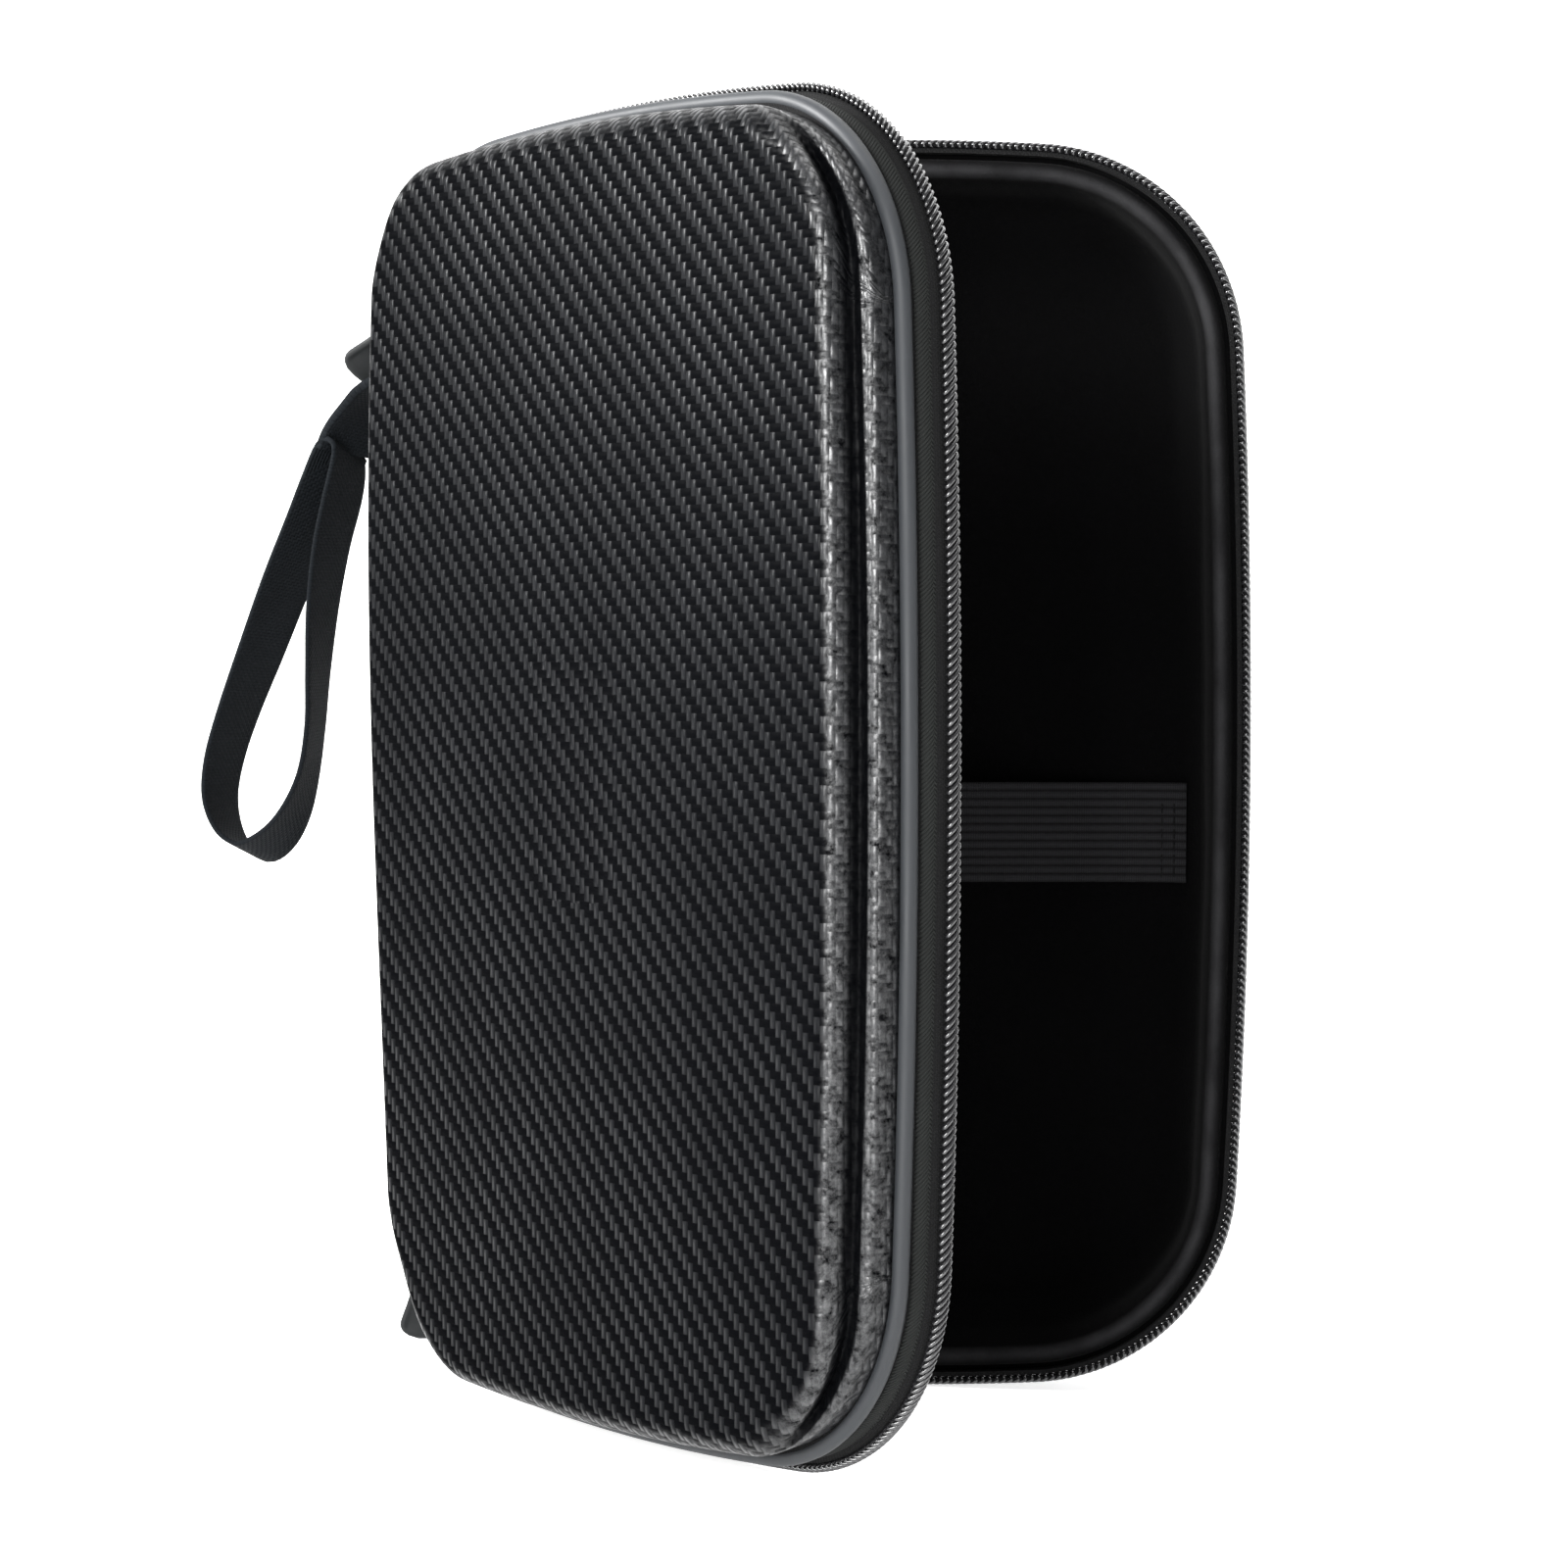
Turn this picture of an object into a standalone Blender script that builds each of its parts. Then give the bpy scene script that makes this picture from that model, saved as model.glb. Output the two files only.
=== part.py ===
"""Hard zip case for one table-tennis paddle, standing on its short end with the lid part open.

Two moulded half trays share a soft spine on the left. Each half is, from outside to inside, an
embossed skin, a foam shell and a fabric lining, with a piping cord and one side of the zip round
its rim. Metres, +Z up, origin at the bottom centre of the whole object.
"""

import math

import bmesh
import bpy
from mathutils import Matrix, Vector

# Outline of a half, seen along its depth: four long arcs joined by four corner arcs.
CASE_WIDTH = 0.200
CASE_HEIGHT = 0.300
CORNER_RADIUS = 0.052
CORNER_X = 0.0456
CORNER_Z = 0.0963

# Hinge and opening.
OPEN_ANGLE = math.radians(41)
HINGE_OFFSET = 0.006
HINGE_X = -0.0741
HINGE_Y = 0.0589

# Section of a half. Inset is measured inwards from the zip teeth, depth from the mating plane.
GAP = 0.0003
HALF_DEPTH = 0.0265
SKIN_THICKNESS = 0.0008
SHELL_THICKNESS = 0.003
LINING_THICKNESS = 0.0008
WALL_INSET = 0.0053
WALL_START_DEPTH = 0.013
SHOULDER_DEPTH = 0.017
SHOULDER_RADIUS = 0.004
CREASE = (0.0104, 0.0212)
FACE_EDGE_RADIUS = 0.005
FACE_INSET = 0.0158
RIM_OUTER_INSET = 0.0072
RIM_INNER_INSET = 0.0102
RIM_DEPTH = 0.0019
INNER_WALL_DEPTH = 0.0145
FLOOR_INSET = 0.0175
LIP_INSET = 0.007

PIPING_RADIUS = 0.002
PIPING_CENTRE = (0.0049, 0.0106)
TAPE_INSET = 0.0031
TAPE_DEPTHS = (0.0016, 0.0083)
TAPE_THICKNESS = 0.0008
COIL_CENTRE = (0.0013, 0.00215)
COIL_RADIUS = 0.0011
COIL_HALF_WIDTH = 0.00185

# Elastic band across the back half.
ELASTIC_HEIGHT = 0.025
ELASTIC_Z = 0.1345
ELASTIC_THICKNESS = 0.0012
ELASTIC_HALF_SPAN = 0.080
ELASTIC_RISE = 0.010

# Spine and zip ends. Angles are along the corner arc, from the spine side.
SPINE_HALF_HEIGHT = 0.098
SPINE_THICKNESS = 0.001
SPINE_CENTRE = 0.0030
SPINE_HALF_SPAN = 0.0113
SPINE_CURVE = 14.0
ZIP_START_ANGLE = 26
TAPE_START_ANGLE = 6
STUB_ANGLE = 7.6
PARK_ANGLE = 18

# Slider, in its own frame: X the way it travels, Y across the zip, Z away from the case.
SLIDER_LENGTH = 0.011
SLIDER_WIDTH = 0.0104
OUTER_PLATE = (0.0010, 0.0022)
INNER_PLATE = (-0.0052, -0.0043)
POST_LENGTH = 0.0024
POST_WIDTH = 0.0022
BRIDGE_HOLE = 0.0019
BRIDGE_BAR = 0.0011

# Pull: a wire link through the bridge and a moulded tab that flares at its end.
LINK_RADIUS = 0.0006
LINK_LENGTH = 0.0085
LINK_WIDTH = 0.0052
TAB_LENGTH = 0.0245
TAB_THICKNESS = 0.0024
TAB_NARROW = 0.0076
TAB_WIDE = 0.011
PULL_SWING = {"top": math.radians(53), "bottom": math.radians(11)}

# Wrist strap: a tail sewn on the spine and, hinged at the fold at its end, a webbing loop.
# Both lie in the zip plane, with the webbing's width across it.
STRAP_WIDTH = 0.0155
STRAP_THICKNESS = 0.0013
TAIL_THICKNESS = 0.0024
FOLD = (-0.0188, 0.2270)
ANCHOR_SIZE = (0.0016, 0.0144, 0.011)
ANCHOR_CENTRE = (0.0013, 0.0, 0.2420)

CORNER_STEPS = 7
LONG_SIDE_STEPS = 4


# Outline ---------------------------------------------------------------------------------


def side_radii():
    """Radii of the long and the short side arcs that run smoothly into the corner arcs."""
    dx = CORNER_X - CASE_WIDTH / 2
    dz = CORNER_Z - CASE_HEIGHT / 2
    square = CORNER_RADIUS**2
    long_side = (square - dx**2 - CORNER_Z**2) / (2 * (dx + CORNER_RADIUS))
    short_side = (square - dz**2 - CORNER_X**2) / (2 * (dz + CORNER_RADIUS))
    return long_side, short_side


LONG_RADIUS, SHORT_RADIUS = side_radii()
LONG_ANGLE = math.degrees(math.atan2(CORNER_Z, CORNER_X - CASE_WIDTH / 2 + LONG_RADIUS))
SHORT_ANGLE = math.degrees(math.atan2(CORNER_Z - CASE_HEIGHT / 2 + SHORT_RADIUS, CORNER_X))


def outline_point(angle, inset=0.0):
    """(across, up) from the middle of the outline, where its outward normal points at angle."""
    turn = math.radians(angle)
    c, s = math.cos(turn), math.sin(turn)
    steep = math.degrees(math.atan2(abs(s), abs(c)))
    right, up = (1 if c > 0 else -1), (1 if s > 0 else -1)
    if steep < LONG_ANGLE:
        centre, radius = (right * (CASE_WIDTH / 2 - LONG_RADIUS), 0.0), LONG_RADIUS
    elif steep > SHORT_ANGLE:
        centre, radius = (0.0, up * (CASE_HEIGHT / 2 - SHORT_RADIUS)), SHORT_RADIUS
    else:
        centre, radius = (right * CORNER_X, up * CORNER_Z), CORNER_RADIUS
    return centre[0] + (radius - inset) * c, centre[1] + (radius - inset) * s


def quarter_angles():
    """Normal angles from the middle of a long side to the last step before the short one."""
    half = LONG_SIDE_STEPS // 2
    angles = [LONG_ANGLE * k / half for k in range(half)]
    span = SHORT_ANGLE - LONG_ANGLE
    angles += [LONG_ANGLE + span * k / CORNER_STEPS for k in range(CORNER_STEPS + 1)]
    angles.append((SHORT_ANGLE + 90) / 2)
    return angles


def outline_angles():
    """Normal angles round the whole outline, clockwise from the middle of the spine side.

    The short sides have no point at their middle, so the case stands on a flat there."""
    quarter = quarter_angles()
    top = [180 - a for a in quarter] + quarter[::-1]
    bottom = [-a for a in quarter[1:]] + [a - 180 for a in quarter[:0:-1]]
    return top + bottom


def zip_angles(start):
    """Normal angles of the part of the outline that the zip covers."""
    inside = [a for a in outline_angles() if abs(a) < 180 - start - 1]
    return [180 - start] + inside + [start - 180]


REST_HEIGHT = -outline_point(-(SHORT_ANGLE + 90) / 2, COIL_CENTRE[0] - COIL_RADIUS)[1]


def in_half(point):
    """(x, z) in a half's frame, whose origin is on the hinge axis at floor height."""
    return HINGE_OFFSET + CASE_WIDTH / 2 + point[0], REST_HEIGHT + point[1]


# Sections --------------------------------------------------------------------------------


def arc(centre, radius, start, end, steps):
    turns = [math.radians(start + (end - start) * k / steps) for k in range(steps + 1)]
    return [(centre[0] + radius * math.cos(t), centre[1] + radius * math.sin(t)) for t in turns]


def skin_section():
    """(inset, depth) up the side wall, over the shoulder, into the crease and onto the face."""
    shoulder = (WALL_INSET + SHOULDER_RADIUS, SHOULDER_DEPTH)
    edge = (FACE_INSET, HALF_DEPTH - FACE_EDGE_RADIUS)
    section = [(WALL_INSET, WALL_START_DEPTH)]
    section += arc(shoulder, SHOULDER_RADIUS, 180, 100, 3)
    section.append(CREASE)
    section += arc(edge, FACE_EDGE_RADIUS, 168, 90, 3)
    return section


def moved_in(section, distance):
    """The section moved to its inner side, the way that a face inset moves an edge."""
    moved = []
    for k, (inset, depth) in enumerate(section):
        before, after = section[max(k - 1, 0)], section[min(k + 1, len(section) - 1)]
        first = Vector((inset - before[0], depth - before[1]))
        second = Vector((after[0] - inset, after[1] - depth))
        if k == len(section) - 1:
            second = Vector((1, 0))
        if k == 0:
            first = second
        normals = [Vector((v.y, -v.x)).normalized() for v in (first, second)]
        mitre = (normals[0] + normals[1]).normalized()
        reach = distance / mitre.dot(normals[0])
        moved.append((inset + mitre.x * reach, depth + mitre.y * reach))
    return moved


# Blender helpers -------------------------------------------------------------------------


def clear_scene():
    for obj in list(bpy.data.objects):
        bpy.data.objects.remove(obj, do_unlink=True)


def collection(name):
    made = bpy.data.collections.new(name)
    bpy.context.scene.collection.children.link(made)
    return made


def material(name, colour, roughness, metallic=0.0):
    made = bpy.data.materials.new(name)
    made.use_nodes = True
    shader = made.node_tree.nodes["Principled BSDF"]
    shader.inputs["Base Color"].default_value = (*colour, 1.0)
    shader.inputs["Roughness"].default_value = roughness
    shader.inputs["Metallic"].default_value = metallic
    return made


def frame(name, parent=None, location=(0, 0, 0), rotation=(0, 0, 0)):
    empty = bpy.data.objects.new(name, None)
    case.objects.link(empty)
    empty.parent = parent
    empty.location = location
    empty.rotation_euler = rotation
    return empty


def add(name, data, look, parent, location=(0, 0, 0), rotation=(0, 0, 0)):
    obj = bpy.data.objects.new(name, data)
    case.objects.link(obj)
    data.materials.append(look)
    obj.parent = parent
    obj.location = location
    obj.rotation_euler = rotation
    return obj


def mesh_from(bm, name):
    bmesh.ops.recalc_face_normals(bm, faces=bm.faces)
    mesh = bpy.data.meshes.new(name)
    bm.to_mesh(mesh)
    bm.free()
    mesh.shade_smooth()
    mesh.set_sharp_from_angle(angle=math.radians(35))
    return mesh


def bridge_rings(bm, rings, closed):
    """Faces between each ring of points and the next, and the last and the first if closed."""
    made = [[bm.verts.new(p) for p in ring] for ring in rings]
    count = len(made[0])
    pairs = list(zip(made, made[1:])) + ([(made[-1], made[0])] if closed else [])
    for one, two in pairs:
        for k in range(count):
            n = (k + 1) % count
            bm.faces.new((one[k], one[n], two[n], two[k]))
    if not closed:
        bm.faces.new(made[0])
        bm.faces.new(made[-1][::-1])


def tray_mesh(name, section, side):
    """A closed tray: the section's loops in order, from the middle of one face to the other's."""
    bm = bmesh.new()
    rings = []
    for inset, depth in section:
        points = [in_half(outline_point(a, inset)) for a in outline_angles()]
        rings.append([(x, side * depth, z) for x, z in points])
    bridge_rings(bm, rings, closed=False)
    return mesh_from(bm, name)


def box_in(bm, low, high):
    """Adds a box between two corners to bm and returns its vertices."""
    centre = (Vector(low) + Vector(high)) / 2
    size = Vector(high) - Vector(low)
    turn = Matrix.Translation(centre) @ Matrix.Diagonal((*size, 1))
    return bmesh.ops.create_cube(bm, size=1, matrix=turn)["verts"]


def box_mesh(name, low, high, round_edges=0.0):
    bm = bmesh.new()
    box_in(bm, low, high)
    if round_edges:
        bmesh.ops.bevel(
            bm, geom=list(bm.edges), offset=round_edges, segments=2, affect="EDGES", profile=0.5
        )
    return mesh_from(bm, name)


def union(target, name, low, high):
    """Joins a box to target with a Boolean; the box itself is a helper."""
    helper = bpy.data.objects.new(name, box_mesh(name, low, high))
    cutters.objects.link(helper)
    helper.hide_render = True
    helper.display_type = "WIRE"
    helper.parent = target
    joined = target.modifiers.new(name, "BOOLEAN")
    joined.operation = "UNION"
    joined.solver = "EXACT"
    joined.object = helper
    return helper


def cut(target, name, low, high):
    union(target, name, low, high)
    target.modifiers[-1].operation = "DIFFERENCE"


def poly_curve(name, points, radius, half_height=0.0, cyclic=False, resolution=2):
    """A cord along points, or a flat band half_height to either side of them."""
    curve = bpy.data.curves.new(name, "CURVE")
    curve.dimensions = "3D"
    curve.twist_mode = "Z_UP"
    spline = curve.splines.new("POLY")
    spline.points.add(len(points) - 1)
    for spot, point in zip(spline.points, points):
        spot.co = (*point, 1.0)
    spline.use_cyclic_u = cyclic
    curve.bevel_depth = radius
    curve.bevel_resolution = resolution
    curve.extrude = max(half_height - radius, 0.0)
    curve.fill_mode = "FULL"
    curve.use_fill_caps = not cyclic
    return curve


# A half of the case ----------------------------------------------------------------------


def shell_section():
    outer = moved_in(skin_section(), SKIN_THICKNESS + GAP)
    floor_depth = HALF_DEPTH - SKIN_THICKNESS - GAP - SHELL_THICKNESS
    rim = [
        (RIM_OUTER_INSET, WALL_START_DEPTH - GAP),
        (RIM_OUTER_INSET, RIM_DEPTH),
        (RIM_INNER_INSET, RIM_DEPTH),
        (RIM_INNER_INSET, INNER_WALL_DEPTH),
    ]
    slope = ((RIM_INNER_INSET + FLOOR_INSET) / 2 + GAP, (INNER_WALL_DEPTH + floor_depth) / 2 + GAP)
    return outer[::-1] + rim + [slope, (FLOOR_INSET, floor_depth)]


def lining_section():
    """Lip over the shell's rim, wall and floor, GAP inside the shell."""
    floor = shell_section()[-1]
    slope = shell_section()[-2]
    lip_under = RIM_DEPTH - GAP
    lip_top = lip_under - LINING_THICKNESS
    wall = RIM_INNER_INSET + GAP
    outer = [
        (floor[0] + GAP, floor[1] - GAP),
        (slope[0] + GAP, slope[1] - GAP),
        (wall, INNER_WALL_DEPTH - GAP / 2),
        (wall, lip_under),
        (LIP_INSET, lip_under),
    ]
    thick = LINING_THICKNESS
    inner = [
        (LIP_INSET, lip_top),
        (wall + thick, lip_top),
        (wall + thick, INNER_WALL_DEPTH - thick / 2),
        (slope[0] + GAP + thick * 0.7, slope[1] - GAP - thick * 0.7),
        (floor[0] + GAP + thick / 2, floor[1] - GAP - thick),
    ]
    return outer + inner


def make_trays(prefix, side, parent):
    skin = skin_section()
    inside = moved_in(skin, SKIN_THICKNESS)
    sections = {
        "skin": (skin[::-1] + inside, looks["skin"]),
        "shell": (shell_section(), looks["foam"]),
        "lining": (lining_section(), looks["lining"]),
    }
    for part, (section, look) in sections.items():
        name = f"{prefix}_{part}"
        add(name, tray_mesh(name, section, side), look, parent)


def rim_path(angles, inset):
    """Points of the outline in the XY plane of a curve that is then stood upright."""
    return [(*in_half(outline_point(a, inset)), 0.0) for a in angles]


def make_rim(prefix, side, parent):
    upright = (math.pi / 2, 0, 0)
    name = f"{prefix}_piping"
    path = rim_path(outline_angles(), PIPING_CENTRE[0])
    curve = poly_curve(name, path, PIPING_RADIUS, cyclic=True)
    add(name, curve, looks["piping"], parent, (0, side * PIPING_CENTRE[1], 0), upright)

    name = f"{prefix}_zip_tape"
    low, high = TAPE_DEPTHS
    path = rim_path(zip_angles(TAPE_START_ANGLE), TAPE_INSET)
    curve = poly_curve(name, path, TAPE_THICKNESS / 2, (high - low) / 2, resolution=0)
    add(name, curve, looks["tape"], parent, (0, side * (low + high) / 2, 0), upright)

    name = f"{prefix}_zip_coil"
    path = rim_path(zip_angles(ZIP_START_ANGLE), COIL_CENTRE[0])
    curve = poly_curve(name, path, COIL_RADIUS, COIL_HALF_WIDTH, resolution=1)
    add(name, curve, looks["coil"], parent, (0, side * COIL_CENTRE[1], 0), upright)


def make_elastic(parent):
    """Elastic band sewn to the back's floor at both ends and bowed off it in between."""
    floor = lining_section()[-1][1]
    end_depth = floor - GAP - ELASTIC_THICKNESS / 2
    middle = HINGE_OFFSET + CASE_WIDTH / 2
    steps = 16
    points = []
    for k in range(steps + 1):
        across = ELASTIC_HALF_SPAN * (2 * k / steps - 1)
        rise = ELASTIC_RISE * math.cos(math.pi / 2 * across / ELASTIC_HALF_SPAN) ** 2
        points.append((middle + across, end_depth - rise, 0.0))
    band = poly_curve("elastic_band", points, ELASTIC_THICKNESS / 2, ELASTIC_HEIGHT / 2, resolution=0)
    add("elastic_band", band, looks["elastic"], parent, (0, 0, ELASTIC_Z))


# Spine, zip ends and sliders -------------------------------------------------------------


def make_spine(parent):
    """Soft strip from one half's piping to the other's, as it lies with the lid part open."""
    steps = 8
    points = []
    for k in range(steps + 1):
        across = SPINE_HALF_SPAN * (2 * k / steps - 1)
        points.append((SPINE_CENTRE + SPINE_CURVE * across**2, across, 0.0))
    strip = poly_curve("spine_cover", points, SPINE_THICKNESS / 2, SPINE_HALF_HEIGHT, resolution=0)
    add("spine_cover", strip, looks["skin"], parent, (0, 0, REST_HEIGHT))


def zip_frame_at(name, parent, angle, end):
    """A frame on the zip line: X the way the slider travels, Y across it, Z outwards.

    angle is in degrees along the corner arc from the spine side, end is top or bottom."""
    sign = 1 if end == "top" else -1
    normal = math.radians(sign * (180 - angle))
    outwards = Vector((math.cos(normal), 0, math.sin(normal)))
    along = Vector((sign * math.sin(normal), 0, -sign * math.cos(normal)))
    x, z = in_half(outline_point(sign * (180 - angle)))
    turn = Matrix((along, outwards.cross(along), outwards)).transposed()
    return frame(name, parent, (x, 0, z), turn.to_euler())


def make_zip_end(end, parent):
    """Short closed stub of the zip between the spine and the parked slider."""
    base = zip_frame_at(f"{end}_stub_frame", parent, STUB_ANGLE, end)
    mesh = box_mesh(f"zip_end_{end}", (-0.003, -0.004, -0.0014), (0.003, 0.004, 0.0008), 0.0005)
    add(f"zip_end_{end}", mesh, looks["tape"], base)


def make_slider(end, parent):
    base = zip_frame_at(f"{end}_slider_frame", parent, PARK_ANGLE, end)
    length, width = SLIDER_LENGTH / 2, SLIDER_WIDTH / 2
    name = f"{end}_slider"
    plate = box_mesh(name, (-length, -width, OUTER_PLATE[0]), (length, width, OUTER_PLATE[1]), 0.0004)
    slider = add(name, plate, looks["metal"], base)
    union(slider, f"{end}_inner_plate", (-length, -width, INNER_PLATE[0]), (length, width, INNER_PLATE[1]))
    front, thick = length - 0.0005, POST_WIDTH / 2
    overlap = 0.0003
    union(
        slider,
        f"{end}_post",
        (front - POST_LENGTH, -thick, INNER_PLATE[1] - overlap),
        (front, thick, OUTER_PLATE[0] + overlap),
    )
    top = OUTER_PLATE[1] + BRIDGE_HOLE
    union(
        slider,
        f"{end}_bridge",
        (-0.0038, -0.001, OUTER_PLATE[1] - overlap),
        (0.0038, 0.001, top + BRIDGE_BAR),
    )
    cut(slider, f"{end}_bridge_hole", (-0.0026, -0.002, OUTER_PLATE[1] + 0.0001), (0.0026, 0.002, top))
    return base


def make_pull(end, slider_frame):
    """The pull hangs from the bridge: its frame's -Z runs along the tab, Y along the pivot."""
    pivot = OUTER_PLATE[1] + BRIDGE_HOLE - LINK_RADIUS - GAP
    lean = math.radians(PARK_ANGLE)
    if end == "top":
        # The tab points back along the path, raised off it by its swing less the path's lean.
        turn = math.pi / 2 + (PULL_SWING[end] - lean)
    else:
        turn = -math.pi / 2 - (PULL_SWING[end] + lean)
    base = frame(f"{end}_pull_frame", slider_frame, (0, 0, pivot), (0, turn, 0))

    corner = 0.0013
    half = LINK_WIDTH / 2 - corner
    path = []
    for cy, cz, start in (
        (half, -corner, 90),
        (half, corner - LINK_LENGTH, 0),
        (-half, corner - LINK_LENGTH, -90),
        (-half, -corner, -180),
    ):
        path += [(0.0, y, z) for y, z in arc((cy, cz), corner, start, start - 90, 3)]
    link = poly_curve(f"{end}_pull_link", path, LINK_RADIUS, cyclic=True)
    add(f"{end}_pull_link", link, looks["metal"], base)

    bm = bmesh.new()
    top, bottom = -LINK_LENGTH + 0.0040, -LINK_LENGTH + 0.0040 - TAB_LENGTH
    flare = bottom + TAB_LENGTH * 0.42
    rows = [
        (top, TAB_NARROW * 0.86, TAB_THICKNESS * 0.9),
        (top - 0.0012, TAB_NARROW, TAB_THICKNESS),
        (flare, TAB_NARROW, TAB_THICKNESS),
        ((flare + bottom) / 2, (TAB_NARROW + TAB_WIDE) * 0.48, TAB_THICKNESS * 1.05),
        (bottom + 0.0012, TAB_WIDE, TAB_THICKNESS * 1.2),
        (bottom, TAB_WIDE * 0.9, TAB_THICKNESS * 0.9),
    ]
    rings = []
    for height, width, thick in rows:
        w, t = width / 2, thick / 2
        cut_corner = min(w, t) * 0.4
        ring = []
        for sx, sy in ((1, 1), (-1, 1), (-1, -1), (1, -1)):
            near, far = (sx * (t - cut_corner), sy * w), (sx * t, sy * (w - cut_corner))
            ring += [far, near] if sx * sy > 0 else [near, far]
        rings.append([(x, y, height) for x, y in ring])
    bridge_rings(bm, rings, closed=False)
    tab = add(f"{end}_pull_tab", mesh_from(bm, f"{end}_pull_tab"), looks["rubber"], base)
    slot_low = -LINK_LENGTH - LINK_RADIUS - GAP
    slot_half = LINK_WIDTH / 2 + LINK_RADIUS + GAP
    room = TAB_THICKNESS
    # A groove through the tab's top seats the two legs of the link, and a pocket holds its bow.
    cut(tab, f"{end}_link_slot", (-room, -slot_half, slot_low), (room, slot_half, -LINK_LENGTH + 0.0024))
    leg = LINK_WIDTH / 2
    for sign in (-1, 1):
        low = sign * leg - LINK_RADIUS - GAP
        cut(
            tab,
            f"{end}_leg_groove_{sign}",
            (-room, low, -LINK_LENGTH + 0.0020),
            (LINK_RADIUS + GAP, low + 2 * (LINK_RADIUS + GAP), top + 0.001),
        )


# Wrist strap -----------------------------------------------------------------------------


def loop_path():
    """(outwards, up, twist in degrees) of the loop's middle line, from the fold and back to it.

    It runs down the outer leg, turns at the bottom and comes up the inner leg. Twist turns the
    webbing's width out of the direction across the zip plane."""
    outer = [
        (-0.0220, 0.2215, 14),
        (-0.0285, 0.2095, 20),
        (-0.0366, 0.1947, 15),
        (-0.0450, 0.1775, 10),
        (-0.0525, 0.1620, 5),
        (-0.0572, 0.1500, 0),
        (-0.0584, 0.1400, -6),
        (-0.0555, 0.1315, -12),
    ]
    inner = [
        (-0.0490, 0.1273, -16),
        (-0.0420, 0.1300, -10),
        (-0.0354, 0.1366, 4),
        (-0.0306, 0.1470, 16),
        (-0.0282, 0.1590, 20),
        (-0.0272, 0.1720, 17),
        (-0.0256, 0.1880, 9),
        (-0.0228, 0.2030, 3),
        (-0.0194, 0.2145, 0),
        (-0.0176, 0.2208, 0),
    ]
    return outer + inner


def smooth_closed(points, steps):
    """Catmull-Rom curve through a closed list of points."""
    made = []
    count = len(points)
    for k in range(count):
        p0, p1, p2, p3 = (Vector(points[(k + j - 1) % count]) for j in range(4))
        for t in (step / steps for step in range(steps)):
            cubic = (3 * p1 - p0 - 3 * p2 + p3) * t**3 + (2 * p0 - 5 * p1 + 4 * p2 - p3) * t**2
            made.append(0.5 * (2 * p1 + (p2 - p0) * t + cubic))
    return made


def make_loop(parent):
    path = smooth_closed(loop_path(), 2)
    origin = Vector((FOLD[0], 0, FOLD[1]))
    bm = bmesh.new()
    rings = []
    for k, spot in enumerate(path):
        before, after = path[k - 1], path[(k + 1) % len(path)]
        along = Vector((after.x - before.x, 0, after.y - before.y)).normalized()
        wide = Matrix.Rotation(math.radians(spot.z), 3, along) @ Vector((0, STRAP_WIDTH / 2, 0))
        thick = along.cross(wide).normalized() * STRAP_THICKNESS / 2
        middle = Vector((spot.x, 0, spot.y)) - origin
        rings.append([middle + a * wide + b * thick for a, b in ((1, 1), (-1, 1), (-1, -1), (1, -1))])
    bridge_rings(bm, rings, closed=True)
    add("strap_loop", mesh_from(bm, "strap_loop"), looks["webbing"], parent, origin)


def make_tail(parent):
    """Doubled webbing that lies on the anchor patch and then leaves it downwards."""
    path = [(-0.0012, 0.2472), (-0.0015, 0.2452), (-0.0036, 0.2436), (-0.0072, 0.2420)]
    path += [(-0.0108, 0.2396), (-0.0142, 0.2354), (-0.0172, 0.2306), FOLD]
    points = [(x, z, 0.0) for x, z in path]
    tail = poly_curve("strap_tail", points, TAIL_THICKNESS / 2, STRAP_WIDTH / 2, resolution=0)
    add("strap_tail", tail, looks["webbing"], parent, rotation=(math.pi / 2, 0, 0))


def make_anchor(parent):
    """Folded patch on the spine that the strap's end is sewn under."""
    half = Vector(ANCHOR_SIZE) / 2
    mesh = box_mesh("strap_anchor", -half, half, 0.0004)
    add("strap_anchor", mesh, looks["skin"], parent, ANCHOR_CENTRE)


# Assembly --------------------------------------------------------------------------------

clear_scene()
case = collection("paddle_case")
cutters = collection("cutters")
looks = {
    "skin": material("embossed_black_skin", (0.022, 0.023, 0.025), 0.42),
    "foam": material("charcoal_foam", (0.05, 0.05, 0.05), 0.9),
    "lining": material("black_lining", (0.008, 0.008, 0.009), 0.95),
    "piping": material("grey_piping", (0.075, 0.078, 0.082), 0.45),
    "tape": material("dark_zip_tape", (0.035, 0.033, 0.031), 0.85),
    "coil": material("black_zip_coil", (0.012, 0.012, 0.013), 0.28),
    "elastic": material("black_elastic", (0.012, 0.012, 0.013), 0.8),
    "metal": material("black_slider_metal", (0.02, 0.02, 0.022), 0.35, 0.8),
    "rubber": material("dark_pull_rubber", (0.016, 0.022, 0.022), 0.5),
    "webbing": material("black_webbing", (0.014, 0.016, 0.019), 0.8),
}

hinge = frame("hinge_axis", location=(HINGE_X, HINGE_Y, 0))
lid = frame("lid_frame", hinge, rotation=(0, 0, -OPEN_ANGLE))
zip_plane = frame("zip_plane", hinge, rotation=(0, 0, -OPEN_ANGLE / 2))

for prefix, side, parent in (("back", 1, hinge), ("lid", -1, lid)):
    make_trays(prefix, side, parent)
    make_rim(prefix, side, parent)
make_elastic(hinge)
make_spine(zip_plane)
for end in ("top", "bottom"):
    make_zip_end(end, zip_plane)
    make_pull(end, make_slider(end, zip_plane))
make_anchor(zip_plane)
make_tail(zip_plane)
make_loop(zip_plane)
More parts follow.
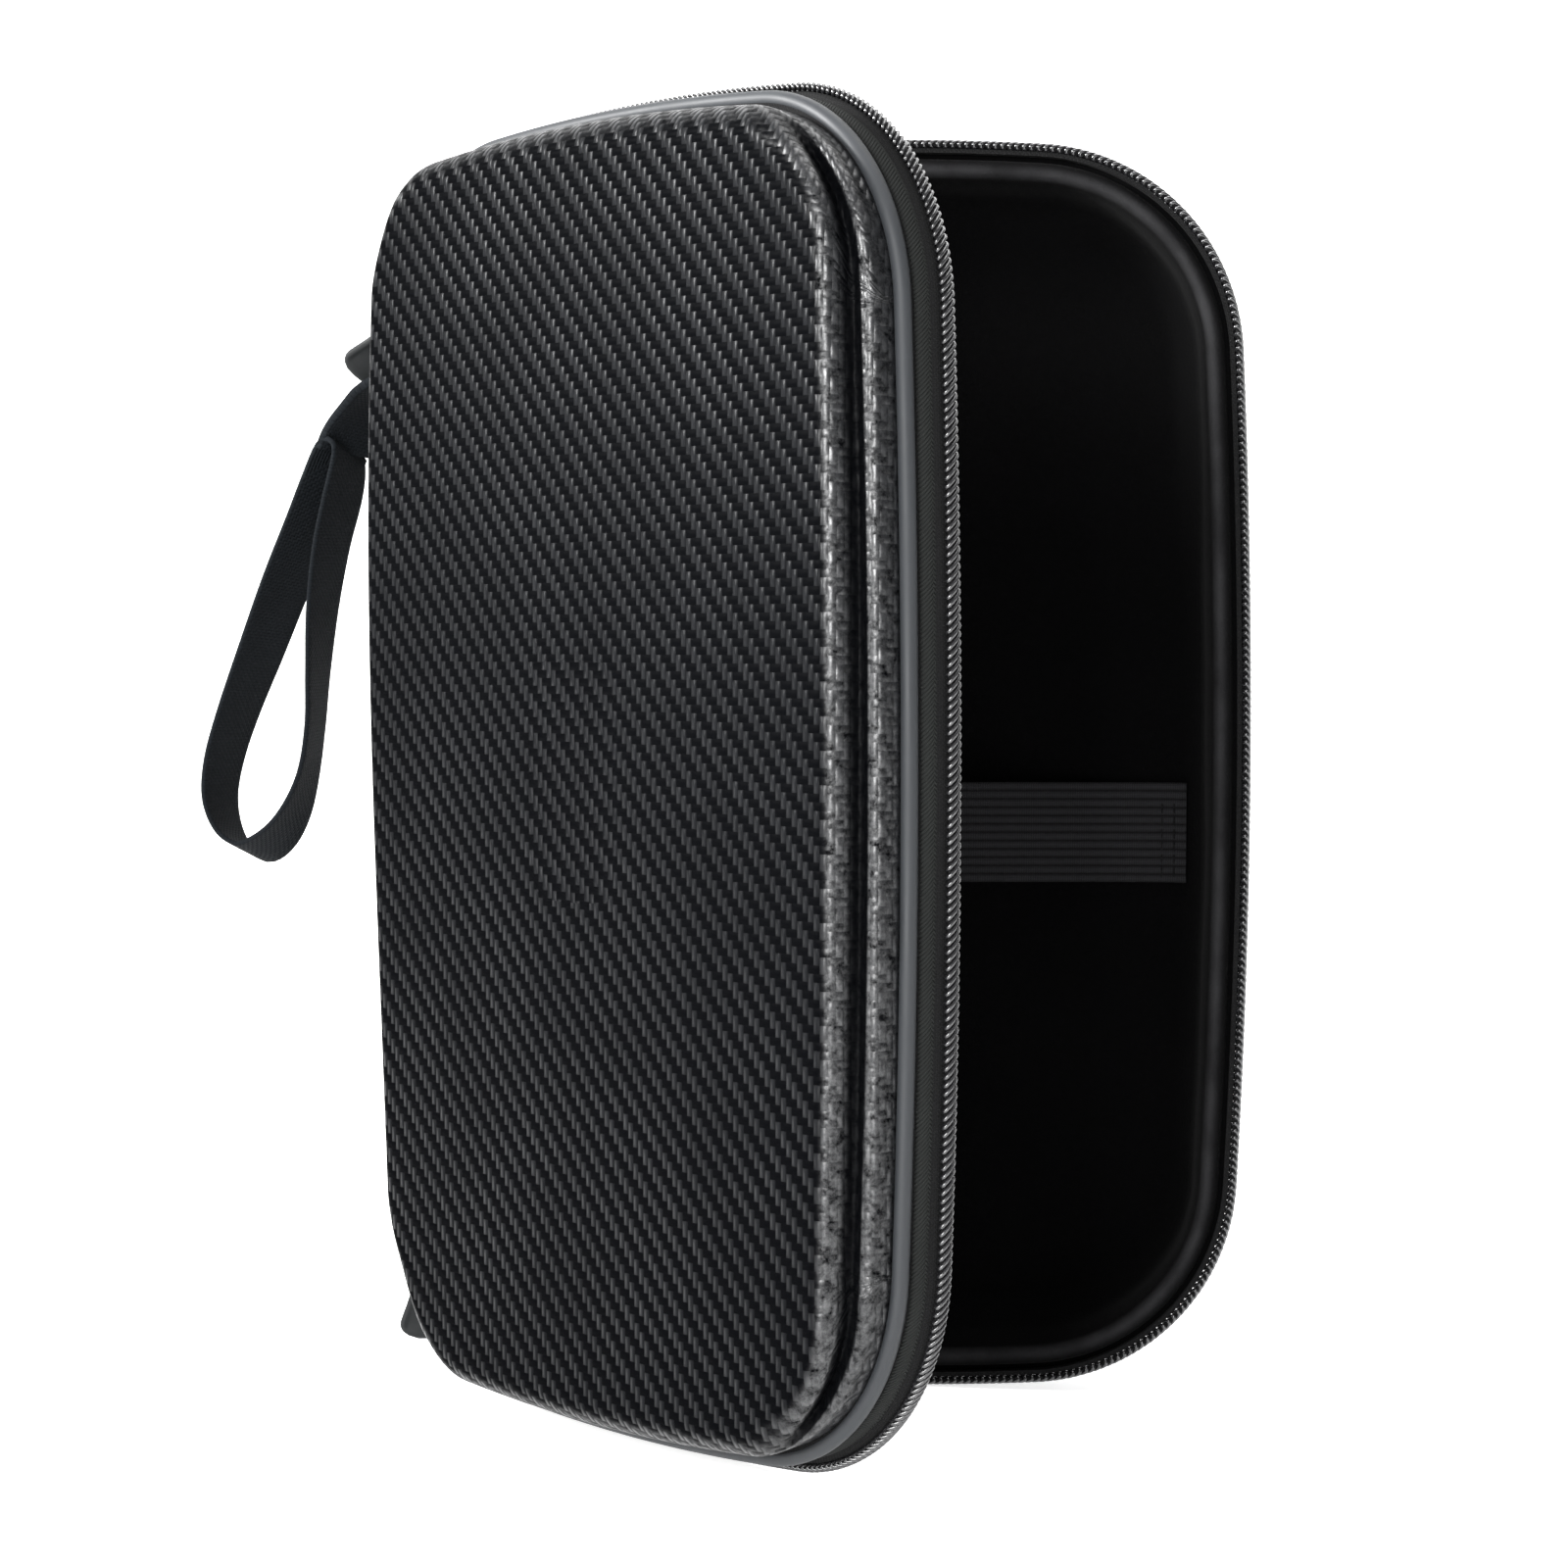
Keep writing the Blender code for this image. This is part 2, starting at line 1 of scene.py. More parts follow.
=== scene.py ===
"""Looks of the table-tennis paddle case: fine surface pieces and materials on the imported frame."""

import math

import bpy
import numpy as np
from mathutils import Matrix, Vector


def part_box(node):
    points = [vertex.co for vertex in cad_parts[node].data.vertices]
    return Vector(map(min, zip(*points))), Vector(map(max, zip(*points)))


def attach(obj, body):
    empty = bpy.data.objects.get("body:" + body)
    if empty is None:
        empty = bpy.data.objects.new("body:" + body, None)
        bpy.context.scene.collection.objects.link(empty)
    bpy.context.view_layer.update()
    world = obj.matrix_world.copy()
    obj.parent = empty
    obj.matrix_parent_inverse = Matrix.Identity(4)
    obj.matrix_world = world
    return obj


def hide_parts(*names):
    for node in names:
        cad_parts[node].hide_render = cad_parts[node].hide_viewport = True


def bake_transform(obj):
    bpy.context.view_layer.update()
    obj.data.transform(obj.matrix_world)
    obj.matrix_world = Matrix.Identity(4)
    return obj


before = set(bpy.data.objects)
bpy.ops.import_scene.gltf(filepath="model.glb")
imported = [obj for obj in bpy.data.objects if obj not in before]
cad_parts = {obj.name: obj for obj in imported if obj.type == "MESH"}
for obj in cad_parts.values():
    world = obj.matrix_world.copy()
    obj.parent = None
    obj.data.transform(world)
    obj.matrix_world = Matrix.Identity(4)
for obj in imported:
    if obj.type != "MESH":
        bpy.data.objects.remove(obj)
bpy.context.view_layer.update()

MM = 0.001

# The case's own frame, as the CAD has it: hinge axis, opening angle and rim outline.
HINGE = Vector((-0.0741, 0.0589, 0.0))
OPEN_ANGLE = math.radians(41)
HINGE_OFFSET = 0.006
CASE_WIDTH, CASE_HEIGHT = 0.200, 0.300
MID_HEIGHT = (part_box("back_zip_coil")[0].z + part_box("back_zip_coil")[1].z) / 2
CORNER_RADIUS = 0.052
CORNER_CENTRE = (0.0456, 0.0963)
ZIP_START = 26
TAPE_START = 6
PARK_ANGLE = 18


# Outline ---------------------------------------------------------------------------------


def side_radii():
    """Radii of the long and the short side arcs that run smoothly into the corner arcs."""
    dx, dz = CORNER_CENTRE[0] - CASE_WIDTH / 2, CORNER_CENTRE[1] - CASE_HEIGHT / 2
    square = CORNER_RADIUS**2
    long_side = (square - dx**2 - CORNER_CENTRE[1] ** 2) / (2 * (dx + CORNER_RADIUS))
    short_side = (square - dz**2 - CORNER_CENTRE[0] ** 2) / (2 * (dz + CORNER_RADIUS))
    return long_side, short_side


LONG_RADIUS, SHORT_RADIUS = side_radii()


def corner_arc(inset, radius):
    """Centre of the corner arc that meets both side arcs, and the normal angles of its ends."""
    ax = CASE_WIDTH / 2 - LONG_RADIUS
    by = CASE_HEIGHT / 2 - SHORT_RADIUS
    ra, rb = LONG_RADIUS - inset - radius, SHORT_RADIUS - inset - radius
    gap = math.hypot(ax, by)
    along = (ra * ra - rb * rb + gap * gap) / (2 * gap)
    off = np.sqrt(np.maximum(ra * ra - along * along, 0))
    ux, uy = -ax / gap, by / gap
    cx, cy = ax + along * ux - off * uy, along * uy + off * ux
    return cx, cy, np.arctan2(cy, cx - ax), np.arctan2(cy - by, cx)


def outline(angle, inset, tighter=0.0):
    """(across, up) where the outline's normal points at angle, in radians; arrays throughout.

    tighter takes that much off the corner's radius and leaves the sides where they are."""
    angle, inset, tighter = np.broadcast_arrays(angle, inset, tighter)
    c, s = np.cos(angle), np.sin(angle)
    right, up = np.where(c > 0, 1.0, -1.0), np.where(s > 0, 1.0, -1.0)
    radius = CORNER_RADIUS - inset - tighter
    cx, cy, first, last = corner_arc(inset, radius)
    steep = np.arctan2(np.abs(s), np.abs(c))
    on_long, on_short = steep < first, steep > last
    mx = np.where(on_long, CASE_WIDTH / 2 - LONG_RADIUS, np.where(on_short, 0.0, cx)) * right
    my = np.where(on_long, 0.0, np.where(on_short, CASE_HEIGHT / 2 - SHORT_RADIUS, cy)) * up
    reach = np.where(on_long, LONG_RADIUS - inset, np.where(on_short, SHORT_RADIUS - inset, radius))
    return mx + reach * c, my + reach * s


def walk(start, step):
    """Normal angles and distances along the outline, clockwise from start degrees off the spine.

    start 0 goes all the way round and leaves out the repeated end."""
    fine = np.radians(np.linspace(180 - start, start - 180, 40001))
    x, z = outline(fine, 0.0)
    run = np.concatenate([[0], np.cumsum(np.hypot(np.diff(x), np.diff(z)))])
    count = int(round(run[-1] / step))
    marks = np.linspace(0, run[-1], count + 1)
    if start == 0:
        marks = marks[:-1]
    return np.interp(marks, run, fine), marks


def in_half(half, across, depth, up):
    """World points of one half: across from the middle of the outline, depth from the mating
    plane, and up from the middle."""
    u = HINGE_OFFSET + CASE_WIDTH / 2 + across
    z = MID_HEIGHT + up
    if half == "back":
        return np.stack([HINGE.x + u, HINGE.y + depth, z], -1)
    c, s = math.cos(OPEN_ANGLE), math.sin(OPEN_ANGLE)
    return np.stack([HINGE.x + u * c - depth * s, HINGE.y - u * s - depth * c, z], -1)


ZIP_ACROSS = Vector((math.sin(OPEN_ANGLE / 2), math.cos(OPEN_ANGLE / 2), 0))
ZIP_OUT = Vector((math.cos(OPEN_ANGLE / 2), -math.sin(OPEN_ANGLE / 2), 0))


def in_zip_plane(points):
    """World points from (into the case from the hinge axis, across the zip, height) rows."""
    p = np.asarray(points, float)
    base = np.array(HINGE)
    return base + p[..., :1] * np.array(ZIP_OUT) + p[..., 1:2] * np.array(ZIP_ACROSS) + p[..., 2:3] * np.array([0, 0, 1.0])


# Mesh helpers ----------------------------------------------------------------------------


def smoothstep(x, low, high):
    t = np.clip((x - low) / (high - low), 0, 1)
    return t * t * (3 - 2 * t)


def arc(centre, radius, start, end, steps):
    t = np.radians(np.linspace(start, end, steps + 1))
    return [(centre[0] + radius * math.cos(x), centre[1] + radius * math.sin(x)) for x in t]


def resample(path, count):
    """count points evenly spaced along a polyline."""
    p = np.asarray(path, float)
    run = np.concatenate([[0], np.cumsum(np.linalg.norm(np.diff(p, axis=0), axis=1))])
    marks = np.linspace(0, run[-1], count)
    return np.stack([np.interp(marks, run, p[:, k]) for k in range(p.shape[1])], 1)


def smooth_path(points, count, closed=False):
    """count points evenly spaced on a Catmull-Rom curve through the points."""
    p = np.asarray(points, float)
    size = len(p)
    made = []
    for k in range(size if closed else size - 1):
        if closed:
            a, b, c, d = (p[(k + j - 1) % size] for j in range(4))
        else:
            a, b, c, d = p[max(k - 1, 0)], p[k], p[k + 1], p[min(k + 2, size - 1)]
        for t in np.linspace(0, 1, 24, endpoint=False):
            made.append(
                0.5 * (2 * b + (c - a) * t + (2 * a - 5 * b + 4 * c - d) * t**2 + (3 * b - a - 3 * c + d) * t**3)
            )
    made.append(p[0] if closed else p[-1])
    path = resample(made, count + 1 if closed else count)
    return path[:-1] if closed else path


def build(name, points, faces, look, body, uv=None, replaces=(), sharp=40, painted_light_extra=None):
    """A mesh object from world points and faces. uv holds a pattern coordinate for each point,
    and extra a second pair of values that its material reads: painted highlight and painted shade
    for its colour, and on the twill a softer edge texture as well."""
    mesh = bpy.data.meshes.new(name)
    mesh.from_pydata([tuple(p) for p in np.asarray(points, float)], [], [tuple(f) for f in faces])
    for layer_name, values in (("pattern", uv), ("painted_light_extra", painted_light_extra)):
        if values is not None:
            layer = mesh.uv_layers.new(name=layer_name)
            index = np.empty(len(mesh.loops), np.int32)
            mesh.loops.foreach_get("vertex_index", index)
            layer.data.foreach_set("uv", np.asarray(values, np.float32)[index].ravel())
    mesh.materials.append(look)
    mesh.shade_smooth()
    mesh.set_sharp_from_angle(angle=math.radians(sharp))
    mesh.validate()
    obj = bpy.data.objects.new(name, mesh)
    bpy.context.scene.collection.objects.link(obj)
    if body:
        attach(obj, body)
    if replaces:
        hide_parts(*replaces)
    return obj


def grid_faces(rows, columns, close_rows=False, close_columns=False, offset=0, flip=False):
    faces = []
    for r in range(rows if close_rows else rows - 1):
        for c in range(columns if close_columns else columns - 1):
            a = offset + r * columns + c
            b = offset + r * columns + (c + 1) % columns
            d = offset + ((r + 1) % rows) * columns + c
            e = offset + ((r + 1) % rows) * columns + (c + 1) % columns
            faces.append((a, d, e, b) if flip else (a, b, e, d))
    return faces


def tube(path, radius, sides, closed=False, up=(0, 0, 1), squash=1.0):
    """Points, faces and pattern coordinates of a round tube along a path of world points."""
    p = np.asarray(path, float)
    if closed:
        ahead, behind = np.roll(p, -1, 0), np.roll(p, 1, 0)
    else:
        ahead, behind = np.vstack([p[1:], p[-1:]]), np.vstack([p[:1], p[:-1]])
    along = ahead - behind
    along /= np.linalg.norm(along, axis=1)[:, None]
    guide = np.broadcast_to(np.asarray(up, float), p.shape)
    one = np.cross(along, guide)
    one /= np.linalg.norm(one, axis=1)[:, None]
    two = np.cross(one, along)
    turn = np.arange(sides) * 2 * math.pi / sides
    radius = np.broadcast_to(np.asarray(radius, float), (len(p),))[:, None, None]
    ring = one[:, None] * np.cos(turn)[None, :, None] + squash * two[:, None] * np.sin(turn)[None, :, None]
    points = (p[:, None] + radius * ring).reshape(-1, 3)
    faces = grid_faces(len(p), sides, close_rows=closed, close_columns=True, flip=True)
    if not closed:
        faces.append(tuple(range(sides)))
        faces.append(tuple(range(len(points) - 1, len(points) - sides - 1, -1)))
    run = np.concatenate([[0], np.cumsum(np.linalg.norm(np.diff(p, axis=0), axis=1))])
    uv = np.stack(np.broadcast_arrays(run[:, None], turn[None] * radius[:, :, 0]), -1).reshape(-1, 2)
    return points, faces, uv


def joined(parts):
    """One points/faces/uv set from several."""
    points, faces, uvs, offset = [], [], [], 0
    for p, f, uv in parts:
        points.append(p)
        faces += [tuple(i + offset for i in face) for face in f]
        uvs.append(uv if uv is not None else np.zeros((len(p), 2)))
        offset += len(p)
    return np.vstack(points), faces, np.vstack(uvs)


def rounded_box(low, high, bevel, place):
    """A box with bevelled edges in a local frame, placed by the function place."""
    low, high = np.asarray(low, float), np.asarray(high, float)
    half, mid = (high - low) / 2, (high + low) / 2
    steps = np.linspace(0, math.pi / 2, 4)
    profile = [(1 - math.cos(t), 1 - math.sin(t)) for t in steps]
    rings = []
    levels = [(-1, inward, rise) for inward, rise in [(b, a) for a, b in profile][::-1]]
    levels = [(-half[2] + rise * bevel, inward * bevel) for _, inward, rise in levels]
    levels = sorted(levels) + [(-z, inset) for z, inset in sorted(levels)[::-1]]
    for z, inset in levels:
        hx, hy = half[0] - inset, half[1] - inset
        corner = max(bevel - inset, bevel * 0.25)
        ring = []
        for sx, sy, start in ((1, 1, 0), (-1, 1, 90), (-1, -1, 180), (1, -1, 270)):
            for t in np.radians(np.linspace(start, start + 90, 4)):
                ring.append(
                    (sx * (hx - corner) + corner * math.cos(t), sy * (hy - corner) + corner * math.sin(t), z)
                )
        rings.append(ring)
    points = np.array(rings).reshape(-1, 3) + mid
    size = len(rings[0])
    faces = grid_faces(len(rings), size, close_columns=True)
    faces.append(tuple(range(size))[::-1])
    faces.append(tuple(range(len(points) - size, len(points))))
    uv = points[:, :2]
    return place(points), faces, uv


def ribbon(path, wide, width, thickness, uv_scale=1.0, closed=True, edge=0.3):
    """A strap of rounded section along a path. wide is the width's direction at each point."""
    p, w = np.asarray(path, float), np.asarray(wide, float)
    if closed:
        along = np.roll(p, -1, 0) - np.roll(p, 1, 0)
    else:
        along = np.vstack([p[1:], p[-1:]]) - np.vstack([p[:1], p[:-1]])
    along /= np.linalg.norm(along, axis=1)[:, None]
    w = w - (w * along).sum(1)[:, None] * along
    w /= np.linalg.norm(w, axis=1)[:, None]
    n = np.cross(along, w)
    h, t = width / 2, thickness / 2
    e = t * edge * 2
    section = [(-h, 0), (-h + e * 0.3, t * 0.75), (-h + e, t)]
    section += [(-h + e + (2 * h - 2 * e) * k / 8, t) for k in range(1, 8)]
    section += [(h - e, t), (h - e * 0.3, t * 0.75), (h, 0)]
    section += [(x, -y) for x, y in section[-2:0:-1]]
    sec = np.array(section)
    points = (p[:, None] + w[:, None] * sec[None, :, :1] + n[:, None] * sec[None, :, 1:]).reshape(-1, 3)
    faces = grid_faces(len(p), len(sec), close_rows=closed, close_columns=True)
    if not closed:
        faces.append(tuple(range(len(sec)))[::-1])
        faces.append(tuple(range(len(points) - len(sec), len(points))))
    run = np.concatenate([[0], np.cumsum(np.linalg.norm(np.diff(p, axis=0), axis=1))])
    uv = np.stack(np.broadcast_arrays(run[:, None], sec[None, :, 0]), -1).reshape(-1, 2) * uv_scale
    return points, faces, uv


# Materials -------------------------------------------------------------------------------


class Look:
    """A Principled material with a few short calls for its node pattern."""

    def __init__(self, name, colour=(0.5, 0.5, 0.5), roughness=0.5, **sockets):
        self.material = bpy.data.materials.new(name)
        self.material.use_nodes = True
        self.tree = self.material.node_tree
        self.shader = self.tree.nodes["Principled BSDF"]
        self.set("Base Color", (*colour, 1.0))
        self.set("Roughness", roughness)
        for key, value in sockets.items():
            self.set(key.replace("_", " "), value)

    def set(self, name, value):
        self.shader.inputs[name].default_value = value

    def link(self, source, name):
        self.tree.links.new(source, self.shader.inputs[name])

    def node(self, kind, **settings):
        made = self.tree.nodes.new(kind)
        for key, value in settings.items():
            setattr(made, key, value)
        return made

    def feed(self, socket, value):
        if isinstance(value, bpy.types.NodeSocket):
            self.tree.links.new(value, socket)
        else:
            socket.default_value = value

    def math(self, operation, *values):
        made = self.node("ShaderNodeMath", operation=operation)
        for socket, value in zip(made.inputs, values):
            self.feed(socket, value)
        return made.outputs[0]

    def add(self, a, b):
        return self.math("ADD", a, b)

    def times(self, a, b):
        return self.math("MULTIPLY", a, b)

    def wave(self, value):
        """One hump for each whole number: sin(pi * fraction)."""
        return self.math("SINE", self.times(self.math("FRACT", value), math.pi))

    def pattern(self, per_metre, layer="pattern"):
        """The pattern coordinates, in units of 1 / per_metre."""
        uv = self.node("ShaderNodeUVMap", uv_map=layer)
        split = self.node("ShaderNodeSeparateXYZ")
        self.tree.links.new(uv.outputs[0], split.inputs[0])
        return self.times(split.outputs[0], per_metre), self.times(split.outputs[1], per_metre)

    def noise(self, scale, detail=2.0, roughness=0.5, stretch=None):
        coordinates = self.node("ShaderNodeTexCoord").outputs["Object"]
        if stretch:
            mapping = self.node("ShaderNodeMapping")
            mapping.inputs["Scale"].default_value = stretch
            self.tree.links.new(coordinates, mapping.inputs["Vector"])
            coordinates = mapping.outputs[0]
        made = self.node("ShaderNodeTexNoise")
        made.inputs["Scale"].default_value = scale
        made.inputs["Detail"].default_value = detail
        made.inputs["Roughness"].default_value = roughness
        self.tree.links.new(coordinates, made.inputs["Vector"])
        return made.outputs["Fac"]

    def remap(self, value, low, high, to_low, to_high):
        made = self.node("ShaderNodeMapRange")
        for socket, number in zip(made.inputs, (value, low, high, to_low, to_high)):
            self.feed(socket, number)
        return made.outputs[0]

    def mix(self, factor, a, b):
        made = self.node("ShaderNodeMix", data_type="RGBA")
        self.feed(made.inputs["Factor"], factor)
        self.feed(made.inputs["A"], (*a, 1.0) if isinstance(a, tuple) else a)
        self.feed(made.inputs["B"], (*b, 1.0) if isinstance(b, tuple) else b)
        return made.outputs["Result"]

    def bump(self, height, distance, strength=1.0, under=None):
        made = self.node("ShaderNodeBump")
        made.inputs["Strength"].default_value = strength
        made.inputs["Distance"].default_value = distance
        self.feed(made.inputs["Height"], height)
        if under:
            self.tree.links.new(under, made.inputs["Normal"])
        self.link(made.outputs[0], "Normal")
        return made.outputs[0]


def twill_look():
    """Embossed 2 by 2 twill film: upright tows shine, level tows stay dark, and their sheen is painted into the base
    colour as well as set in the specular level.
    """
    look = Look("twill_skin", roughness=0.4, Specular_IOR_Level=0.5)
    x, y = look.pattern(1 / (1.74 * MM))
    step = look.math("FLOORED_MODULO", look.add(look.math("FLOOR", x), look.math("FLOOR", y)), 4.0)
    upright = look.math("LESS_THAN", step, 1.5)
    fx, fy = look.math("FRACT", x), look.math("FRACT", y)
    along_up = look.times(look.add(step, fy), 0.5)
    along_level = look.times(look.add(look.add(step, -2.0), fx), 0.5)
    hump_up = look.times(look.wave(x), look.add(0.35, look.times(look.wave(along_up), 0.65)))
    hump_level = look.times(look.wave(y), look.add(0.35, look.times(look.wave(along_level), 0.65)))
    level = look.math("SUBTRACT", 1.0, upright)
    height = look.add(look.times(upright, hump_up), look.times(level, look.times(hump_level, 0.7)))
    grain = look.noise(900, 3.0)
    fibre_x = look.noise(260, 2.0, stretch=(6, 6, 0.5))
    shine = look.times(upright, look.remap(hump_up, 0.05, 0.6, 0.45, 1.0))
    patches = look.remap(look.noise(28, 2.0), 0.3, 0.7, 0.75, 1.15)
    # Fuzz is a softer, speckled texture on the rounded edges and shoulder and also a painted highlight there; shade is
    # painted shade in the crease and on the long sides' wall.
    fuzz, shade = look.pattern(1.0, "painted_light_extra")
    plain = look.math("SUBTRACT", 1.0, look.times(fuzz, 0.4))
    tone = look.times(look.times(shine, look.remap(fibre_x, 0.3, 0.7, 0.7, 1.2)), patches)
    speckle = look.remap(look.noise(520, 4.0, 0.75), 0.34, 0.66, 0.0, 1.7)
    blend = look.node("ShaderNodeMix")
    for socket, value in zip((blend.inputs[0], blend.inputs[2], blend.inputs[3]), (look.times(fuzz, 0.66), tone, speckle)):
        look.feed(socket, value)
    # Painted shade darkens the tone in the crease; the base colour below is also lightened where fuzz is set, as a
    # painted highlight.
    tone = look.times(blend.outputs[0], look.math("SUBTRACT", 1.0, look.times(shade, 0.95)))
    soft = look.times(tone, look.add(0.5, look.times(fuzz, 0.7)))
    look.link(look.mix(soft, (0.0011, 0.0012, 0.0015), (0.0055, 0.006, 0.0072)), "Base Color")
    look.link(look.add(0.004, look.times(tone, look.add(0.055, look.times(fuzz, 0.75)))), "Specular IOR Level")
    look.link(look.remap(look.add(tone, look.times(grain, 0.3)), 0.0, 1.2, 0.52, 0.36), "Roughness")
    rough = look.bump(look.add(look.times(height, plain), look.times(grain, 0.12)), 0.32 * MM, 0.85)
    return look.material, rough


def cloth_look(name, colour, pitch, depth, roughness=0.85, lit_crest_gain=1.6, sheen=0.0, twill=False, shine=0.22):
    """Woven cloth: crossing threads, or a diagonal twill, at pitch metres. Thread crests are painted lighter and
    hollows darker, as painted shade of the weave, over a random tone.
    """
    look = Look(name, colour, roughness, Sheen_Weight=sheen, Sheen_Roughness=0.5, Specular_IOR_Level=shine)
    x, y = look.pattern(1 / pitch)
    if twill:
        height = look.wave(look.add(x, look.math("PINGPONG", y, 4.0)))
    else:
        both = look.math("MODULO", look.add(look.math("FLOOR", x), look.math("FLOOR", y)), 2.0)
        level = look.math("SUBTRACT", 1.0, both)
        height = look.add(look.times(both, look.wave(x)), look.times(level, look.wave(y)))
    fuzz = look.noise(1500, 3.0, 0.7)
    look.bump(look.add(height, look.times(fuzz, 0.4)), depth, 0.9)
    # Painted shade of the weave: colour follows thread height, plus a random tone.
    tone = look.add(look.times(height, 0.6), look.times(look.noise(60), 0.5))
    bright = tuple(min(1.0, c * lit_crest_gain) for c in colour)
    dark = tuple(c * 0.55 for c in colour)
    look.link(look.mix(tone, dark, bright), "Base Color")
    return look.material


def velvet_look():
    look = Look("velvet_lining", (0.0028, 0.0028, 0.003), 0.95, Specular_IOR_Level=0.05)
    look.set("Sheen Weight", 0.012)
    look.set("Sheen Roughness", 0.4)
    pile = look.noise(1400, 4.0, 0.75)
    brushed = look.noise(35, 3.0)
    look.bump(look.add(pile, look.times(brushed, 1.5)), 0.35 * MM, 0.8)
    # Painted highlight: the rolled bead of the lip is painted a lighter grey, broken up by noise.
    painted_highlight_mask, _ = look.pattern(1.0, "painted_light_extra")
    painted_bead_highlight = look.times(painted_highlight_mask, look.remap(look.noise(90, 3.0), 0.3, 0.7, 0.6, 1.2))
    plain = look.mix(brushed, (0.0003, 0.0003, 0.0004), (0.001, 0.001, 0.0011))
    look.link(look.mix(painted_bead_highlight, plain, (0.02, 0.02, 0.021)), "Base Color")
    return look.material


def smooth_look(name, colour, roughness, grain=0.25, scale=700, bump=0.05 * MM, metallic=0.0, shine=0.5):
    """Moulded or coated surface with a fine grain and worn, slightly uneven shine."""
    look = Look(name, colour, roughness, Metallic=metallic, Specular_IOR_Level=shine)
    fine, wide = look.noise(scale, 3.0), look.noise(45, 3.0)
    look.bump(fine, bump, 0.7)
    look.link(look.remap(wide, 0.3, 0.7, roughness * (1 - grain), roughness * (1 + grain)), "Roughness")
    bright = tuple(min(1.0, c * (1 + grain)) for c in colour)
    look.link(look.mix(wide, tuple(c * (1 - grain) for c in colour), bright), "Base Color")
    return look.material


def elastic_look():
    look = Look("ribbed_elastic", (0.007, 0.007, 0.0075), 0.85, Specular_IOR_Level=0.12)
    x, y = look.pattern(1 / (0.55 * MM))
    threads = look.times(look.wave(x), look.wave(look.times(y, 1.4)))
    look.bump(look.add(threads, look.times(look.noise(1200), 0.4)), 0.12 * MM, 0.8)
    # Painted light: rib crests and raised threads are painted lighter and the hollows darker, following the tone handed
    # in by the mesh.
    crest, _ = look.pattern(1.0, "painted_light_extra")
    tone = look.times(look.add(0.45, look.times(threads, 0.55)), crest)
    look.link(look.mix(tone, (0.0012, 0.0012, 0.0014), (0.017, 0.017, 0.0185)), "Base Color")
    return look.material


def floor_look():
    look = Look("studio_floor", (0.9, 0.9, 0.9), 0.7, Specular_IOR_Level=0.0)
    look.set("Emission Color", (1, 1, 1, 1))
    look.set("Emission Strength", 0.72)
    look.link(look.mix(look.noise(3), (0.885, 0.885, 0.89), (0.915, 0.915, 0.915)), "Base Color")
    return look.material


TWILL, _ = twill_look()
PIPING = smooth_look("grey_piping", (0.0215, 0.0235, 0.0262), 0.55, 0.15, shine=0.3)
TAPE = cloth_look("zip_tape", (0.0052, 0.0058, 0.0054), 0.95 * MM, 0.25 * MM, lit_crest_gain=2.0, twill=True)
COIL = smooth_look("coil_plastic", (0.01, 0.01, 0.011), 0.24, 0.1, 900, 0.02 * MM, shine=1.0)
CORE = cloth_look("coil_cord", (0.002, 0.002, 0.0022), 0.6 * MM, 0.1 * MM)
VELVET = velvet_look()
# Near-black cloth used as painted shade: it fills the shadowed gaps beside the piping and under the coil; the elastic's
# stitches use it too.
SHADE = cloth_look("painted_shade_cloth", (0.0012, 0.0012, 0.0014), 0.5 * MM, 0.1 * MM, 0.9, 1.3)
FOAM = smooth_look("shell_foam", (0.02, 0.02, 0.021), 0.9, 0.2, 1200, 0.15 * MM)
ELASTIC = elastic_look()
METAL = smooth_look("slider_metal", (0.02, 0.02, 0.022), 0.33, 0.2, 500, 0.02 * MM, metallic=0.85)
RUBBER = smooth_look("pull_rubber", (0.0035, 0.0046, 0.005), 0.55, 0.2, 900, 0.06 * MM, shine=0.25)
WEBBING = cloth_look("strap_webbing", (0.0034, 0.0042, 0.0051), 0.8 * MM, 0.18 * MM, 0.9, 1.8, shine=0.07)
BINDING = smooth_look("spine_leather", (0.014, 0.0145, 0.0155), 0.5, 0.25, 420, 0.3 * MM)
THREAD = cloth_look("black_thread", (0.018, 0.018, 0.019), 0.3 * MM, 0.05 * MM, 0.6)


# Halves ----------------------------------------------------------------------------------

SKIN_ROWS = 44
# How far the spine side's wall and face edge lean inward, all along it and towards its low end.
WALL_LEAN = (2.2 * MM, 1.8 * MM)
EDGE_LEAN = (1.0 * MM, 3.0 * MM)


# (inset, share of the wall's lean, share of the edge's lean, depth, tighter corner) inside the skin.
UNDERSIDE = [(7.6, 0.83, 0, 15.0, 3), (10.2, 1, 0, 18.0, 6), (12.2, 1, 0.1, 20.0, 8), (18.5, 1, 1, 25.2, 12)]


def skin_sections():
    """(inset, depth) rows on a long side, with its crease, and on a short side, without one."""
    long_side = [(7.0, 12.3), (5.6, 12.5), (5.25, 13.4), (5.3, 16.2)]
    long_side += arc((8.3, 16.2), 3.0, 178, 82, 9)
    long_side += [(9.7, 19.0), (10.35, 18.95), (10.8, 19.4), (11.0, 20.8)]
    long_side += arc((15.6, 22.0), 4.5, 182, 90, 11)
    long_side += [(17.0, 26.5)]
    short_side = [(7.6, 12.3), (6.9, 12.5), (6.5, 13.4), (6.5, 18.8)]
    short_side += arc((13.6, 19.4), 7.1, 178, 90, 16)
    short_side += [(17.0, 26.5)]
    return resample(long_side, SKIN_ROWS) * MM, resample(short_side, SKIN_ROWS) * MM


